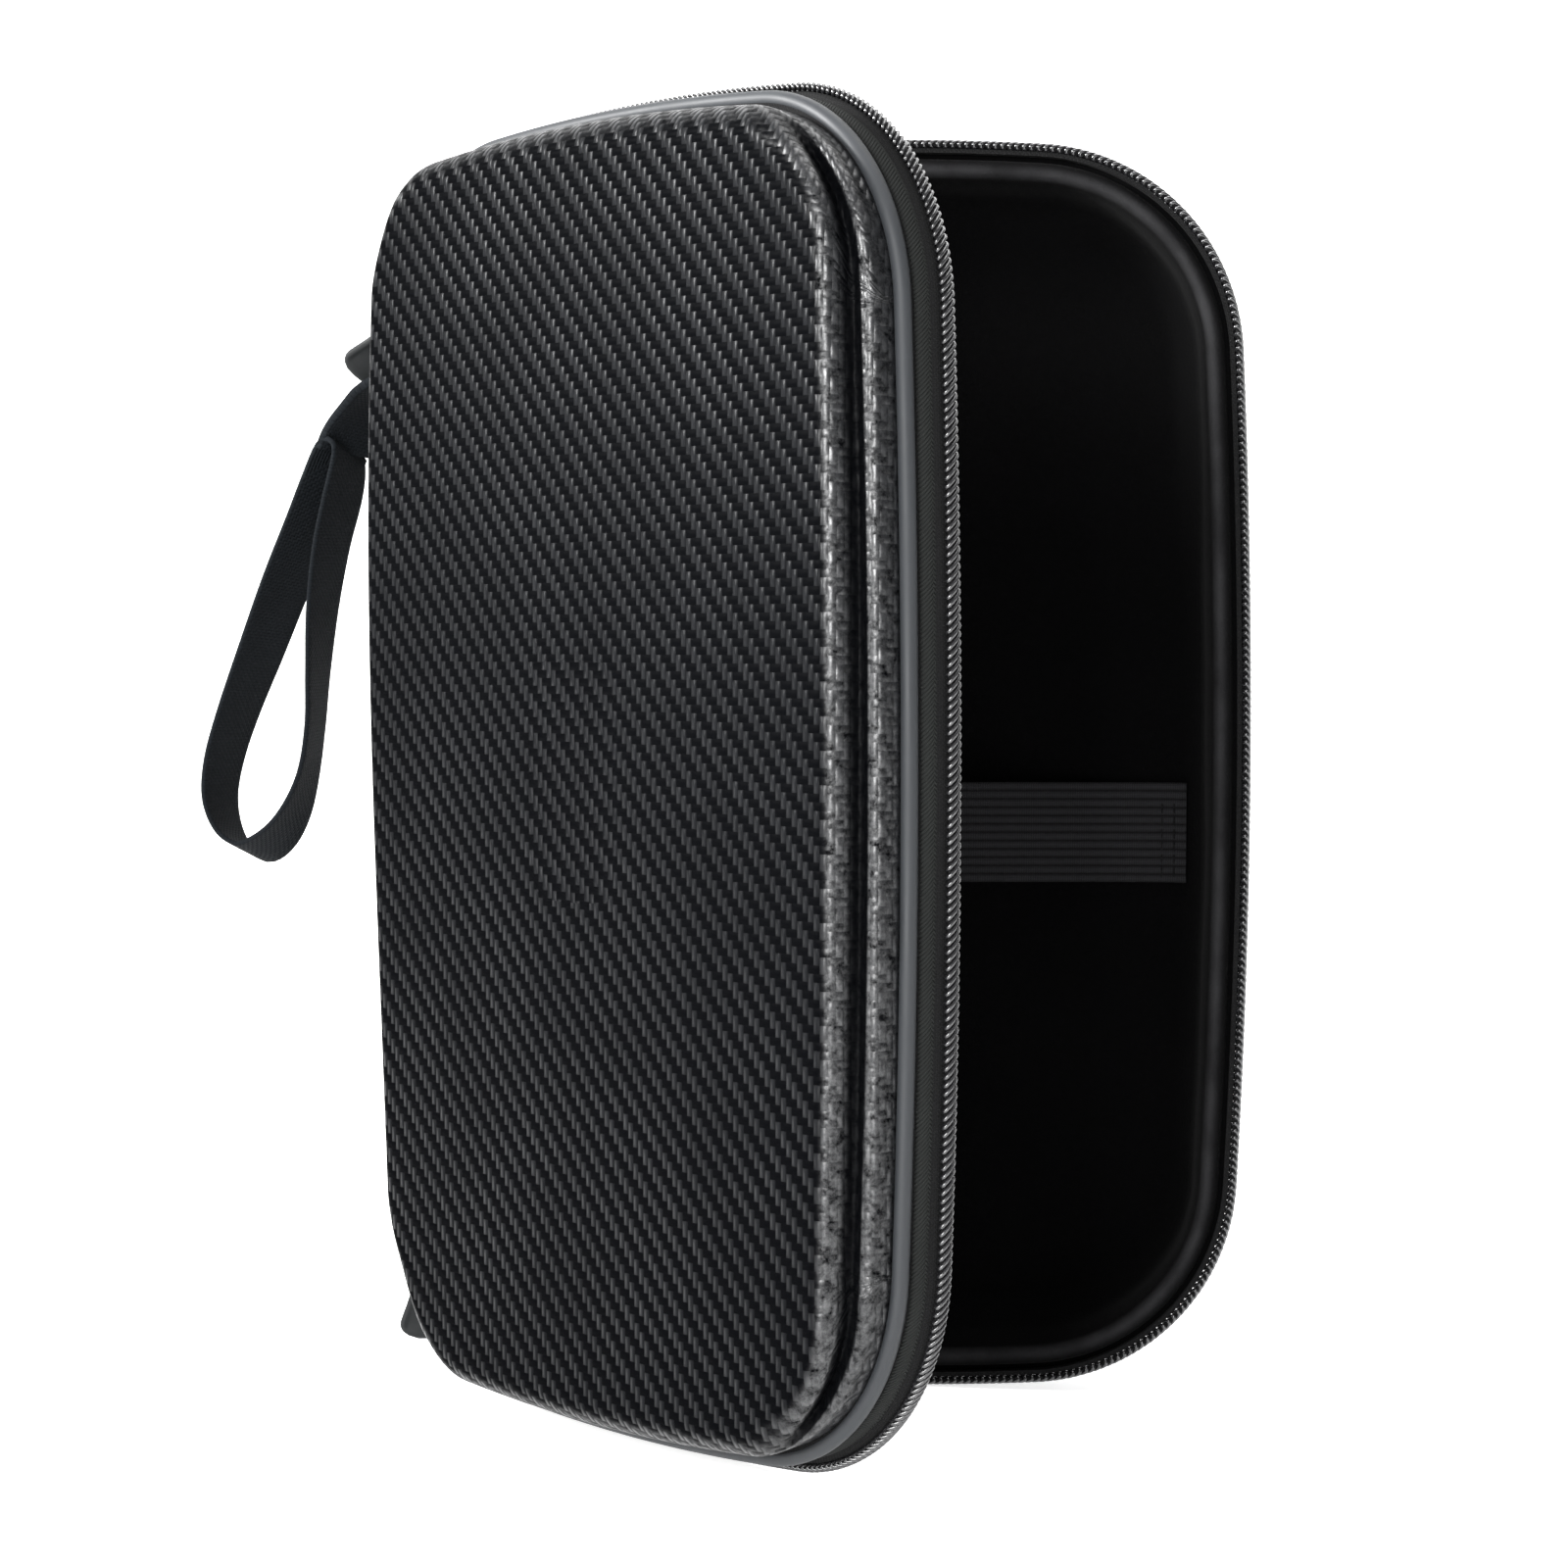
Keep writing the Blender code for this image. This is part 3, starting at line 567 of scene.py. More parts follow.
def make_skin(half):
    angles, run = walk(0, 1.6 * MM)
    long_side, short_side = skin_sections()
    steep = np.degrees(np.arctan2(np.abs(np.sin(angles)), np.abs(np.cos(angles))))
    short = smoothstep(steep, 34, 86)[:, None]
    section = long_side[None] * (1 - short[..., None]) + short_side[None] * short[..., None]
    inset, depth = section[..., 0], section[..., 1]
    spine_side = smoothstep(-np.cos(angles), 0.4, 0.98)
    low = smoothstep(-outline(angles, 0.0)[1], -80 * MM, 100 * MM) * smoothstep(-np.cos(angles), 0.05, 0.85)
    lean = (WALL_LEAN[0] * spine_side + WALL_LEAN[1] * low)[:, None]
    edge_lean = (EDGE_LEAN[0] * spine_side + EDGE_LEAN[1] * low)[:, None]
    inset = inset + lean * smoothstep(depth, 11.5 * MM, 16.5 * MM) + edge_lean * smoothstep(depth, 19.5 * MM, 25.5 * MM)
    other_corners = 1.0 - ((np.cos(angles) < 0) & (np.sin(angles) < 0))
    tighter = 13 * MM * smoothstep(depth, 15 * MM, 25 * MM) * other_corners[:, None]
    across, up = outline(angles[:, None], inset, tighter)
    # Pattern coordinates: the flat face's own, carried on over the edge by the section's length.
    edge_x, edge_z = across[:, -1:], up[:, -1:]
    steps = np.hypot(np.diff(inset, axis=1), np.diff(depth, axis=1))
    back_run = np.concatenate([np.cumsum(steps[:, ::-1], axis=1)[:, ::-1], np.zeros((len(angles), 1))], 1)
    pattern_x = edge_x + back_run * np.cos(angles)[:, None]
    pattern_z = edge_z + back_run * np.sin(angles)[:, None]
    # Fuzz takes the twill's contrast off the shoulder and edges and paints a highlight there; painted shade darkens the
    # crease, and more lightly the long sides' wall and shoulder.
    long_depth = long_side[:, 1]
    painted_shade = (long_side[:, 0] > 8.2 * MM) * (1 - smoothstep(long_depth, 20.5 * MM, 23.5 * MM))
    painted_shade = painted_shade[None] * (1 - smoothstep(steep, 52, 86))[:, None]
    painted_shade = np.maximum(painted_shade, 0.3 * (long_depth[None] < 18 * MM) * (1 - short))
    on_shoulder = 1 - smoothstep(long_depth[None], 25.4 * MM, 26.45 * MM)
    fuzz = (1 - smoothstep(depth, 24.6 * MM, 26.3 * MM)) * (1 - 0.55 * short)
    fuzz = np.maximum(fuzz, on_shoulder * (1 - short))
    rings = [
        (across[:, k], up[:, k], depth[:, k], pattern_x[:, k], pattern_z[:, k], fuzz[:, k], painted_shade[:, k])
        for k in range(SKIN_ROWS)
    ]
    none = np.zeros(len(angles))
    for shrink in (0.97, 0.92, 0.8, 0.65, 0.5, 0.35, 0.2):
        crown = 0.5 * MM * (1 - shrink**2)
        x, z = edge_x[:, 0] * shrink, edge_z[:, 0] * shrink
        rings.append((x, z, np.full_like(x, 26.5 * MM + crown), x, z, none, none))
    inner_depth = 11.9 * MM
    x, z = outline(angles, 7.0 * MM)
    underside = [(x, z, np.full_like(x, inner_depth), x, z, none, none)]
    for inward, leant, edge_leant, deep, tight in UNDERSIDE:
        room = inward * MM + leant * lean[:, 0] + edge_leant * edge_lean[:, 0]
        x, z = outline(angles, room, tight * MM * other_corners)
        underside.append((x, z, np.full_like(x, deep * MM), x, z, none, none))
    rings = underside[::-1] + rings
    points = np.vstack([in_half(half, r[0], r[2], r[1]) for r in rings])
    uv = np.vstack([np.stack([r[3], r[4]], 1) for r in rings])
    painted_light_extra = np.vstack([np.stack([r[5], r[6]], 1) for r in rings])
    size = len(angles)
    faces = grid_faces(len(rings), size, close_columns=True, flip=half == "lid")
    ends = [tuple(range(size)), tuple(range(len(points) - size, len(points)))[::-1]]
    faces += [e if half == "back" else e[::-1] for e in ends]
    build(f"{half}_twill_skin", points, faces, TWILL, half, uv, [f"{half}_skin"], 60, painted_light_extra)


def sweep(half, name, section, step, look, replaces, start=0.0, closed_section=True, wobble=0.0):
    """A section of (inset, depth) rows in millimetres run along the outline."""
    angles, run = walk(start, step)
    sec = np.asarray(section, float) * MM
    inset = np.broadcast_to(sec[None, :, 0], (len(angles), len(sec)))
    depth = np.broadcast_to(sec[None, :, 1], inset.shape)
    if wobble:
        ripple = np.sin(run * 61.0) * np.sin(run * 23.7 + 1.3) + 0.5 * np.sin(run * 143.0 + 0.4)
        inset = inset + wobble * ripple[:, None]
    across, up = outline(angles[:, None], inset)
    points = in_half(half, across, depth, up).reshape(-1, 3)
    around = np.concatenate([[0], np.cumsum(np.hypot(*np.diff(sec, axis=0).T))])
    uv = np.stack(np.broadcast_arrays(run[:, None], around[None]), -1).reshape(-1, 2)
    flip = half == "back"
    faces = grid_faces(len(angles), len(sec), close_rows=start == 0, close_columns=closed_section, flip=flip)
    if start:
        first, last = tuple(range(len(sec))), tuple(range(len(points) - len(sec), len(points)))
        faces += [first, last[::-1]] if flip else [first[::-1], last]
    return build(name, points, faces, look, half, uv, replaces)


def make_piping(half):
    section = arc((4.5, 11.3), 1.8, 0, 345, 23)
    sweep(half, f"{half}_piping_cord", section, 2.0 * MM, PIPING, [f"{half}_piping"])
    # Painted shade: the gusset closing the gap between piping and tape is made in the near-black shade cloth.
    gusset = [(4.1, 8.1), (4.7, 9.9), (5.4, 12.9), (7.2, 12.6), (7.2, 9.4), (5.6, 7.9)]
    sweep(half, f"{half}_shaded_piping_gusset", gusset, 3.0 * MM, SHADE, [])


def make_tape(half):
    outer = [(5.0, 8.6), (4.2, 8.5), (3.8, 8.1), (3.5, 7.3), (3.35, 6.4), (3.3, 5.5), (3.3, 4.9), (3.4, 4.6)]
    inner = [(3.7, 4.6), (3.8, 5.6), (4.0, 6.6), (4.4, 7.4), (5.0, 7.8)]
    # Painted shadow: the tape's foot under the coil is made in the near-black shade cloth.
    seat = [(3.5, 5.2), (2.9, 4.7), (2.35, 4.0), (2.2, 3.0), (2.25, 1.2), (3.3, 1.1), (3.5, 2.6)]
    sweep(half, f"{half}_shaded_coil_seat", seat, 3.0 * MM, SHADE, [], TAPE_START)
    sweep(half, f"{half}_tape", outer + inner, 1.5 * MM, TAPE, [f"{half}_zip_tape"], TAPE_START, wobble=0.03 * MM)


def make_coil(half):
    """The zip's teeth: one long flattened coil, round a cord, along the rim."""
    pitch, slant, turn_steps, sides = 1.72 * MM, 1.35 * MM, 12, 6
    angles, run = walk(ZIP_START, 0.9 * MM)
    turns = int(run[-1] / pitch)
    t = np.arange(turns * turn_steps + 1) * 2 * math.pi / turn_steps
    c, s = np.cos(t), np.sin(t)
    marks = np.linspace(1.8 * MM, run[-1] - 1.8 * MM, len(t)) + slant * s
    angle = np.interp(marks, run, angles)
    inset = (1.25 - 0.7 * c) * MM
    depth = (2.2 + 1.42 * s) * MM
    across, up = outline(angle, inset)
    path = in_half(half, across, depth, up)
    mid_x, mid_z = outline(angle, 1.25 * MM)
    core = in_half(half, mid_x, np.full_like(mid_x, 2.2 * MM), mid_z)
    along = np.gradient(path, axis=0)
    along /= np.linalg.norm(along, axis=1)[:, None]
    out = path - core
    out -= (out * along).sum(1)[:, None] * along
    out /= np.linalg.norm(out, axis=1)[:, None]
    side = np.cross(along, out)
    spin = np.arange(sides) * 2 * math.pi / sides
    radius = 0.46 * MM
    ring = out[:, None] * np.cos(spin)[None, :, None] + side[:, None] * np.sin(spin)[None, :, None]
    points = (path[:, None] + radius * ring).reshape(-1, 3)
    faces = grid_faces(len(path), sides, close_columns=True, flip=False)
    faces += [tuple(range(sides))[::-1], tuple(range(len(points) - sides, len(points)))]
    build(f"{half}_coil_teeth", points, faces, COIL, half, None, [f"{half}_zip_coil"], 80)
    section = arc((1.25, 2.2), 0.62, 0, 330, 11)
    section = [(i, 2.2 + (d - 2.2) * 1.9) for i, d in section]
    sweep(half, f"{half}_coil_cord", section, 2.0 * MM, CORE, [], ZIP_START)


def make_lining(half):
    hidden = [(18.4, 21.35), (14.0, 18.6), (11.2, 15.0), (10.4, 11.8), (8.9, 5.0), (7.6, 3.7), (3.3, 3.7)]
    seen = [(3.2, 3.1), (4.6, 3.1), (4.8, 2.6)]
    seen += arc((6.8, 2.7), 2.0, 187, 305, 10)
    seen += [(8.6, 1.75), (9.3, 2.9), (9.9, 4.4), (10.5, 6.5), (10.95, 9.0), (11.3, 11.6), (11.8, 13.9)]
    seen += [(12.8, 15.9), (14.9, 18.1), (16.8, 19.8), (18.2, 20.6), (20.0, 20.85)]
    angles, run = walk(0, 2.0 * MM)
    sec = np.array(hidden + seen) * MM
    inset = np.broadcast_to(sec[None, :, 0], (len(angles), len(sec))).copy()
    depth = np.broadcast_to(sec[None, :, 1], inset.shape).copy()
    ripple = np.sin(run * 47.0 + 0.7) * np.sin(run * 19.0) + 0.4 * np.sin(run * 131.0)
    soft = smoothstep(depth, 3 * MM, 9 * MM) * (np.arange(len(sec)) >= len(hidden))
    inset += 0.22 * MM * ripple[:, None] * soft
    across, up = outline(angles[:, None], inset)
    rings = [(across[:, k], up[:, k], depth[:, k]) for k in range(len(sec))]
    for shrink in (0.9, 0.7, 0.5, 0.3):
        x, z = across[:, -1] * shrink, up[:, -1] * shrink
        rings.append((x, z, depth[:, -1] - 0.05 * MM + 0.12 * MM * np.sin(x * 90) * np.sin(z * 70)))
    points = np.vstack([in_half(half, r[0], r[2], r[1]) for r in rings])
    size = len(angles)
    # Painted highlight on the lip's rolled bead, read by the velvet's colour.
    painted_highlight_mask = np.zeros(len(rings))
    painted_highlight_mask[: len(sec)] = np.exp(-(((sec[:, 0] - 7.6 * MM) / (1.5 * MM)) ** 2)) * (sec[:, 1] < 2.6 * MM)
    painted_light_extra = np.stack([np.repeat(painted_highlight_mask, size), np.zeros(len(points))], 1)
    faces = grid_faces(len(rings), size, close_columns=True, flip=half == "back")
    ends = [tuple(range(size)), tuple(range(len(points) - size, len(points)))[::-1]]
    faces += [e if half == "lid" else e[::-1] for e in ends]
    build(f"{half}_velvet", points, faces, VELVET, half, None, [f"{half}_lining"], 60, painted_light_extra)
    core = [(9.4, 13.0), (8.2, 13.2), (7.4, 12.2), (7.4, 4.0), (8.5, 5.2), (10.0, 11.9)]
    sweep(half, f"{half}_foam_core", core, 4.0 * MM, FOAM, [f"{half}_shell"])


# Elastic, spine, zip ends, sliders -------------------------------------------------------


def stitches(points, normals, look, name, body, length=2.2 * MM, gap=0.9 * MM, thick=0.22 * MM):
    """A row of sewn stitches: short sunk threads along a path."""
    p = np.asarray(points, float)
    n = np.asarray(normals, float)
    run = np.concatenate([[0], np.cumsum(np.linalg.norm(np.diff(p, axis=0), axis=1))])
    parts = []
    count = int(run[-1] // (length + gap))
    for k in range(count):
        marks = np.linspace(k * (length + gap), k * (length + gap) + length, 6)
        path = np.stack([np.interp(marks, run, p[:, j]) for j in range(3)], 1)
        lift = np.stack([np.interp(marks, run, n[:, j]) for j in range(3)], 1)
        rise = np.sin(np.linspace(0, math.pi, 6))[:, None]
        path = path + lift * (thick * (rise * 1.1 - 0.35))
        parts.append(tube(path, thick, 6, up=tuple(n[0])))
    points, faces, uv = joined(parts)
    return build(name, points, faces, look, body, uv)


def make_elastic():
    """Elastic with woven ribs along it, sewn flat to the floor at each end."""
    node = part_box("elastic_band")
    mid_x, mid_z = (node[0].x + node[1].x) / 2, (node[0].z + node[1].z) / 2 - 0.8 * MM
    sewn = 3.6 * MM
    half_span, height = (node[1].x - node[0].x) / 2 + sewn, node[1].z - node[0].z - 0.7 * MM
    end_y, rise = node[1].y - 0.75 * MM, 9.6 * MM
    ribs, per_rib, steps = 12, 5, 72
    x = np.linspace(-half_span, half_span, steps + 1)
    y = end_y - rise * np.cos(np.clip(np.abs(x) / (half_span - sewn), 0, 1) * math.pi / 2) ** 2
    y -= 0.5 * np.maximum(np.abs(x) - (half_span - sewn), 0)
    z = np.linspace(-height / 2, height / 2, ribs * per_rib + 1)
    crest = np.abs(np.sin(np.pi * np.arange(len(z)) / per_rib)) ** 0.7
    front = 0.42 * MM + 0.26 * MM * crest
    rows = []
    for side in (1, -1):
        depth = y[:, None] - side * front[None]
        grid = np.stack(np.broadcast_arrays(mid_x + x[:, None], depth, mid_z + z[None]), -1)
        rows.append(grid)
    section = np.concatenate([rows[0], rows[1][:, ::-1]], axis=1)
    count = section.shape[1]
    points = section.reshape(-1, 3)
    faces = grid_faces(len(x), count, close_columns=True, flip=False)
    faces += [tuple(range(count))[::-1], tuple(range(len(points) - count, len(points)))]
    run = np.concatenate([z, z[::-1]])
    uv = np.stack(np.broadcast_arrays(x[:, None], run[None]), -1).reshape(-1, 2)
    # Painted light: crests lighter and hollows darker, and the band painted lighter from its left end to its right.
    tone = np.concatenate([crest, crest[::-1]])[None] * np.interp(x, [-half_span, half_span], [0.75, 1.1])[:, None]
    painted_light_extra = np.stack([tone.ravel(), np.zeros(len(points))], 1)
    build("elastic_ribs", points, faces, ELASTIC, "back", uv, ["elastic_band"], 80, painted_light_extra)
    for side in (-1, 1):
        for k, off in enumerate((3.0, 6.0)):
            sx = mid_x + side * (half_span - off * MM)
            sz = np.linspace(mid_z - height / 2 + 1.5 * MM, mid_z + height / 2 - 1.5 * MM, 12)
            sy = np.interp(abs(sx - mid_x), x, y) - 0.72 * MM
            path = np.stack([np.full_like(sz, sx), np.full_like(sz, sy), sz], 1)
            name = f"elastic_stitch_{'left' if side < 0 else 'right'}_{k}"
            stitches(path, np.tile([0, -1.0, 0], (12, 1)), SHADE, name, "back")


def make_spine():
    """Soft grained strip, curved between the halves, with a hem line near each edge."""
    low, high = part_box("spine_cover")
    up = np.linspace(low.z, high.z, 81)
    half_span, centre, curve = 11.3 * MM, 3.0 * MM, 14.0
    n = np.linspace(-half_span, half_span, 33)
    swell = 0.22 * MM * np.exp(-(((np.abs(n) - 8.6 * MM) / (0.8 * MM)) ** 2))
    b = centre + curve * n**2
    outer = np.stack(np.broadcast_arrays((b - 0.5 * MM - swell)[None], n[None], up[:, None]), -1)
    inner = np.stack(np.broadcast_arrays((b + 0.5 * MM)[None], n[None], up[:, None]), -1)
    ripple = 0.12 * MM * np.sin(up * 210)[:, None] * np.cos(n / half_span * math.pi / 2)[None]
    outer[..., 0] += ripple
    inner[..., 0] += ripple
    section = np.concatenate([outer, inner[:, ::-1]], axis=1)
    count = section.shape[1]
    points = in_zip_plane(section).reshape(-1, 3)
    faces = grid_faces(len(up), count, close_columns=True, flip=True)
    faces += [tuple(range(count)), tuple(range(len(points) - count, len(points)))[::-1]]
    uv = np.stack(np.broadcast_arrays(up[:, None], np.concatenate([n, n[::-1]])[None]), -1).reshape(-1, 2)
    spine = build("spine_strip", points, faces, BINDING, None, uv, (), 60)
    back_edge = in_zip_plane([4.8 * MM, 9.5 * MM, 0.15])
    lid_edge = in_zip_plane([4.8 * MM, -9.5 * MM, 0.15])
    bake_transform(spine)
    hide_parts("spine_cover")


def zip_line_frame(angle, end):
    """A placing function for a frame on the zip line: X the way the slider travels, Y across
    the zip, Z away from the case."""
    sign = 1 if end == "top" else -1
    normal = math.radians(sign * (180 - angle))
    x, z = outline(np.array(normal), np.array(0.0))
    origin = np.array([HINGE_OFFSET + CASE_WIDTH / 2 + float(x), 0.0, MID_HEIGHT + float(z)])
    out = np.array([math.cos(normal), 0, math.sin(normal)])
    along = np.array([sign * math.sin(normal), 0, -sign * math.cos(normal)])
    across = np.cross(out, along)

    def place(points):
        p = np.asarray(points, float)
        return in_zip_plane(origin + p[..., :1] * along + p[..., 1:2] * across + p[..., 2:3] * out)

    return place


def make_zip_end(end):
    place = zip_line_frame(7.6, end)
    parts = [rounded_box((-3.2 * MM, -4.0 * MM, -1.4 * MM), (3.2 * MM, 4.0 * MM, 0.2 * MM), 0.5 * MM, place)]
    for k in range(4):
        x = (-2.3 + 1.5 * k) * MM
        parts.append(rounded_box((x - 0.5 * MM, -2.6 * MM, 0.1 * MM), (x + 0.5 * MM, 2.6 * MM, 0.85 * MM), 0.3 * MM, place))
    points, faces, uv = joined(parts)
    build(f"zip_stub_{end}", points, faces, TAPE, "zip_ends", uv, [f"zip_end_{end}"])


def plate(shape, low, high, bevel, place):
    """A flat plate with the outline shape, between two heights, with rounded rims."""
    shape = np.asarray(shape, float)
    centre = shape.mean(0)
    rings = []
    for z, inset in ((low, bevel), (low + bevel * 0.3, bevel * 0.3), (low + bevel, 0), (high - bevel, 0), (high - bevel * 0.3, bevel * 0.3), (high, bevel)):
        away = shape - centre
        size = np.linalg.norm(away, axis=1)[:, None]
        ring = centre + away * (1 - inset / size)
        rings.append(np.column_stack([ring, np.full(len(ring), z)]))
    points = np.vstack(rings)
    count = len(shape)
    faces = grid_faces(len(rings), count, close_columns=True)
    faces += [tuple(range(count))[::-1], tuple(range(len(points) - count, len(points)))]
    return place(points), faces, points[:, :2]


def make_slider(end):
    """Zip slider: two waisted plates, a post between them and an arched bridge for the link."""
    place = zip_line_frame(PARK_ANGLE, end)
    turn = np.radians(np.arange(0, 360, 10))
    waist = []
    for t in turn:
        x = 5.4 * MM * np.sign(math.cos(t)) * abs(math.cos(t)) ** 0.7
        wide = 5.1 - 1.1 * smoothstep(-x, -2 * MM, 5.2 * MM)
        waist.append((x, wide * MM * np.sign(math.sin(t)) * abs(math.sin(t)) ** 0.62))
    parts = [
        plate(waist, 1.0 * MM, 2.2 * MM, 0.35 * MM, place),
        plate([(x, 0.55 * y) for x, y in waist], -4.55 * MM, -3.75 * MM, 0.25 * MM, place),
        rounded_box((2.6 * MM, -0.85 * MM, -4.0 * MM), (5.0 * MM, 0.85 * MM, 1.3 * MM), 0.4 * MM, place),
    ]
    for side in (-1, 1):
        low, high = sorted((side * 4.2 * MM, side * 5.0 * MM))
        parts.append(rounded_box((-4.6 * MM, low, 0.2 * MM), (4.2 * MM, high, 1.3 * MM), 0.25 * MM, place))
    arch = [(-3.7, 1.9), (-3.5, 3.2), (-2.9, 4.1), (-1.6, 4.65), (0.0, 4.8), (1.6, 4.65), (2.9, 4.1), (3.5, 3.2), (3.7, 1.9)]
    arch = smooth_path(arch, 25) * MM
    path = place(np.column_stack([arch[:, 0], np.zeros(25), arch[:, 1]]))
    across = np.tile(place([[0, 1.0, 0]])[0] - place([[0, 0, 0]])[0], (25, 1))
    parts.append(ribbon(path, across, 2.0 * MM, 0.95 * MM, closed=False))
    points, faces, uv = joined(parts)
    build(f"{end}_slider_body", points, faces, METAL, f"{end}_slider", uv, [f"{end}_slider"])


PULL_SWING = {"top": math.radians(53), "bottom": math.radians(11)}
TAB_TWIST = math.radians(55)
PIVOT_HEIGHT = 3.2 * MM


def pull_frame(end):
    """A placing function for a pull: the link hangs along -Z and turns about Y."""
    zip_place = zip_line_frame(PARK_ANGLE, end)
    lean = math.radians(PARK_ANGLE)
    turn = math.pi / 2 + PULL_SWING[end] - lean if end == "top" else -math.pi / 2 - PULL_SWING[end] - lean
    matrix = np.array(Matrix.Rotation(turn, 3, "Y"))

    def place(points):
        return zip_place(np.asarray(points, float) @ matrix.T + np.array([0, 0, PIVOT_HEIGHT]))

    return place


def make_pull(end):
    place = pull_frame(end)
    run, half, corner = 8.5, 2.6 - 1.3, 1.3
    path = []
    for cy, cz, start in ((half, -corner, 90), (half, corner - run, 0), (-half, corner - run, -90), (-half, -corner, -180)):
        path += [(0.0, y * MM, z * MM) for y, z in arc((cy, cz), corner, start, start - 90, 6)]
    points, faces, uv = tube(place(path), 0.6 * MM, 10, closed=True, up=tuple(place([[1.0, 0, 0]])[0] - place([[0, 0, 0]])[0]))
    build(f"{end}_wire_link", points, faces, METAL, f"{end}_pull", uv, [f"{end}_pull_link"], 60)

    # The tab: slim neck, flared end, thicker rim round a sunk middle panel.
    top, bottom = -4.6, -29.0
    rows = 34
    parts = []
    rings = []
    for k in range(rows + 1):
        t = k / rows
        z = top + (bottom - top) * t
        wide = 3.7 + 1.75 * smoothstep(t, 0.45, 1.0)
        thick = 1.15 + 0.3 * smoothstep(t, 0.7, 0.98)
        rounded = math.sqrt(max(1 - max((t - 0.84) / 0.16, 0) ** 2, 0.1))
        turned = TAB_TWIST * float(smoothstep(t, 0.0, 0.25))
        close = min(1.0, math.sqrt(max(1 - (1 - min(t, 1 - t) / 0.05) ** 2, 0.02))) if min(t, 1 - t) < 0.05 else 1.0
        sunk = 0.4 * float(smoothstep(t, 0.3, 0.36) * (1 - smoothstep(t, 0.86, 0.92)))
        ring = []
        for a in np.radians(np.arange(0, 360, 10)):
            y = wide * close * rounded * np.sign(math.cos(a)) * abs(math.cos(a)) ** 0.35
            x = thick * close * np.sign(math.sin(a)) * abs(math.sin(a)) ** 0.45
            panel = sunk * float(1 - smoothstep(abs(y), wide - 1.7, wide - 1.1))
            x -= np.sign(x) * panel
            c, s = math.cos(turned), math.sin(turned)
            ring.append(((x * c + y * s) * MM, (y * c - x * s) * MM, z * MM))
        rings.append(ring)
    points = np.array(rings).reshape(-1, 3)
    faces = grid_faces(len(rings), 36, close_columns=True, flip=True)
    faces += [tuple(range(36)), tuple(range(len(points) - 36, len(points)))[::-1]]
    parts.append((place(points), faces, points[:, 1:]))
    points, faces, uv = joined(parts)
    build(f"{end}_moulded_tab", points, faces, RUBBER, f"{end}_pull", uv, [f"{end}_pull_tab"], 50)


# Wrist strap -----------------------------------------------------------------------------

STRAP_WIDTH, STRAP_THICKNESS = 15.5 * MM, 1.3 * MM

# (out of the hinge axis, height, twist in degrees) of the loop from the fold and back.
LOOP = [
    (-19.3, 226.6, 22), (-23.6, 218.6, 24), (-28.5, 209.5, 20), (-36.6, 194.7, 15), (-45.0, 177.5, 10),
    (-52.5, 162.0, 4), (-57.2, 150.0, 0), (-58.6, 140.0, -6), (-55.5, 131.5, -14), (-49.0, 127.0, -20),
    (-42.0, 129.6, -12), (-35.4, 136.6, 4), (-30.6, 147.0, 18), (-28.2, 159.0, 21), (-27.2, 172.0, 17),
    (-25.6, 188.0, 9), (-22.8, 203.0, 3), (-19.4, 214.5, 0), (-17.6, 222.0, 4), (-17.6, 226.2, 12),
]  # fmt: skip
TAIL_TWIST = math.radians(22)
TAIL = [(-1.2, 247.2), (-1.5, 245.2), (-3.6, 243.6), (-7.2, 242.0), (-10.8, 239.6), (-14.2, 235.4), (-17.0, 230.6), (-18.7, 226.4)]


def make_strap():
    path = smooth_path(LOOP, 150, closed=True)
    flat = np.column_stack([path[:, 0] * MM, np.zeros(len(path)), path[:, 1] * MM])
    along = np.roll(flat, -1, 0) - np.roll(flat, 1, 0)
    along /= np.linalg.norm(along, axis=1)[:, None]
    twist = np.radians(path[:, 2])
    side = np.cross(along, [0, 1.0, 0])
    wide = np.cos(twist)[:, None] * np.array([0, 1.0, 0]) + np.sin(twist)[:, None] * side
    world = in_zip_plane(flat)
    wide_world = in_zip_plane(wide) - np.array(HINGE)
    points, faces, uv = ribbon(world, wide_world, STRAP_WIDTH, STRAP_THICKNESS)
    build("strap_webbing_loop", points, faces, WEBBING, "wrist_strap", uv, ["strap_loop"], 60)

    line = smooth_path([(b, 0.0, z) for b, z in TAIL], 40) * MM
    path = in_zip_plane(line)
    along = np.gradient(line, axis=0)
    along /= np.linalg.norm(along, axis=1)[:, None]
    twist = TAIL_TWIST * smoothstep(np.arange(40), 18, 39)[:, None]
    wide = np.cos(twist) * np.array([0, 1.0, 0]) + np.sin(twist) * np.cross(along, [0, 1.0, 0])
    points, faces, uv = ribbon(path, in_zip_plane(wide) - np.array(HINGE), STRAP_WIDTH, 2.4 * MM, closed=False)
    build("strap_webbing_tail", points, faces, WEBBING, "zip_ends", uv, ["strap_tail"], 60)


def make_anchor():
    low = np.array([0.5, -7.2, 236.5]) * MM
    high = np.array([2.1, 7.2, 247.5]) * MM
    points, faces, uv = rounded_box(low, high, 0.5 * MM, in_zip_plane)
    build("strap_anchor_patch", points, faces, BINDING, "zip_ends", uv, ["strap_anchor"])


for half in ("back", "lid"):
    make_skin(half)
    make_piping(half)
    make_tape(half)
    make_coil(half)
    make_lining(half)
make_elastic()
make_spine()
for end in ("top", "bottom"):
    make_zip_end(end)
    make_slider(end)
    make_pull(end)
make_strap()
make_anchor()


# Studio ----------------------------------------------------------------------------------


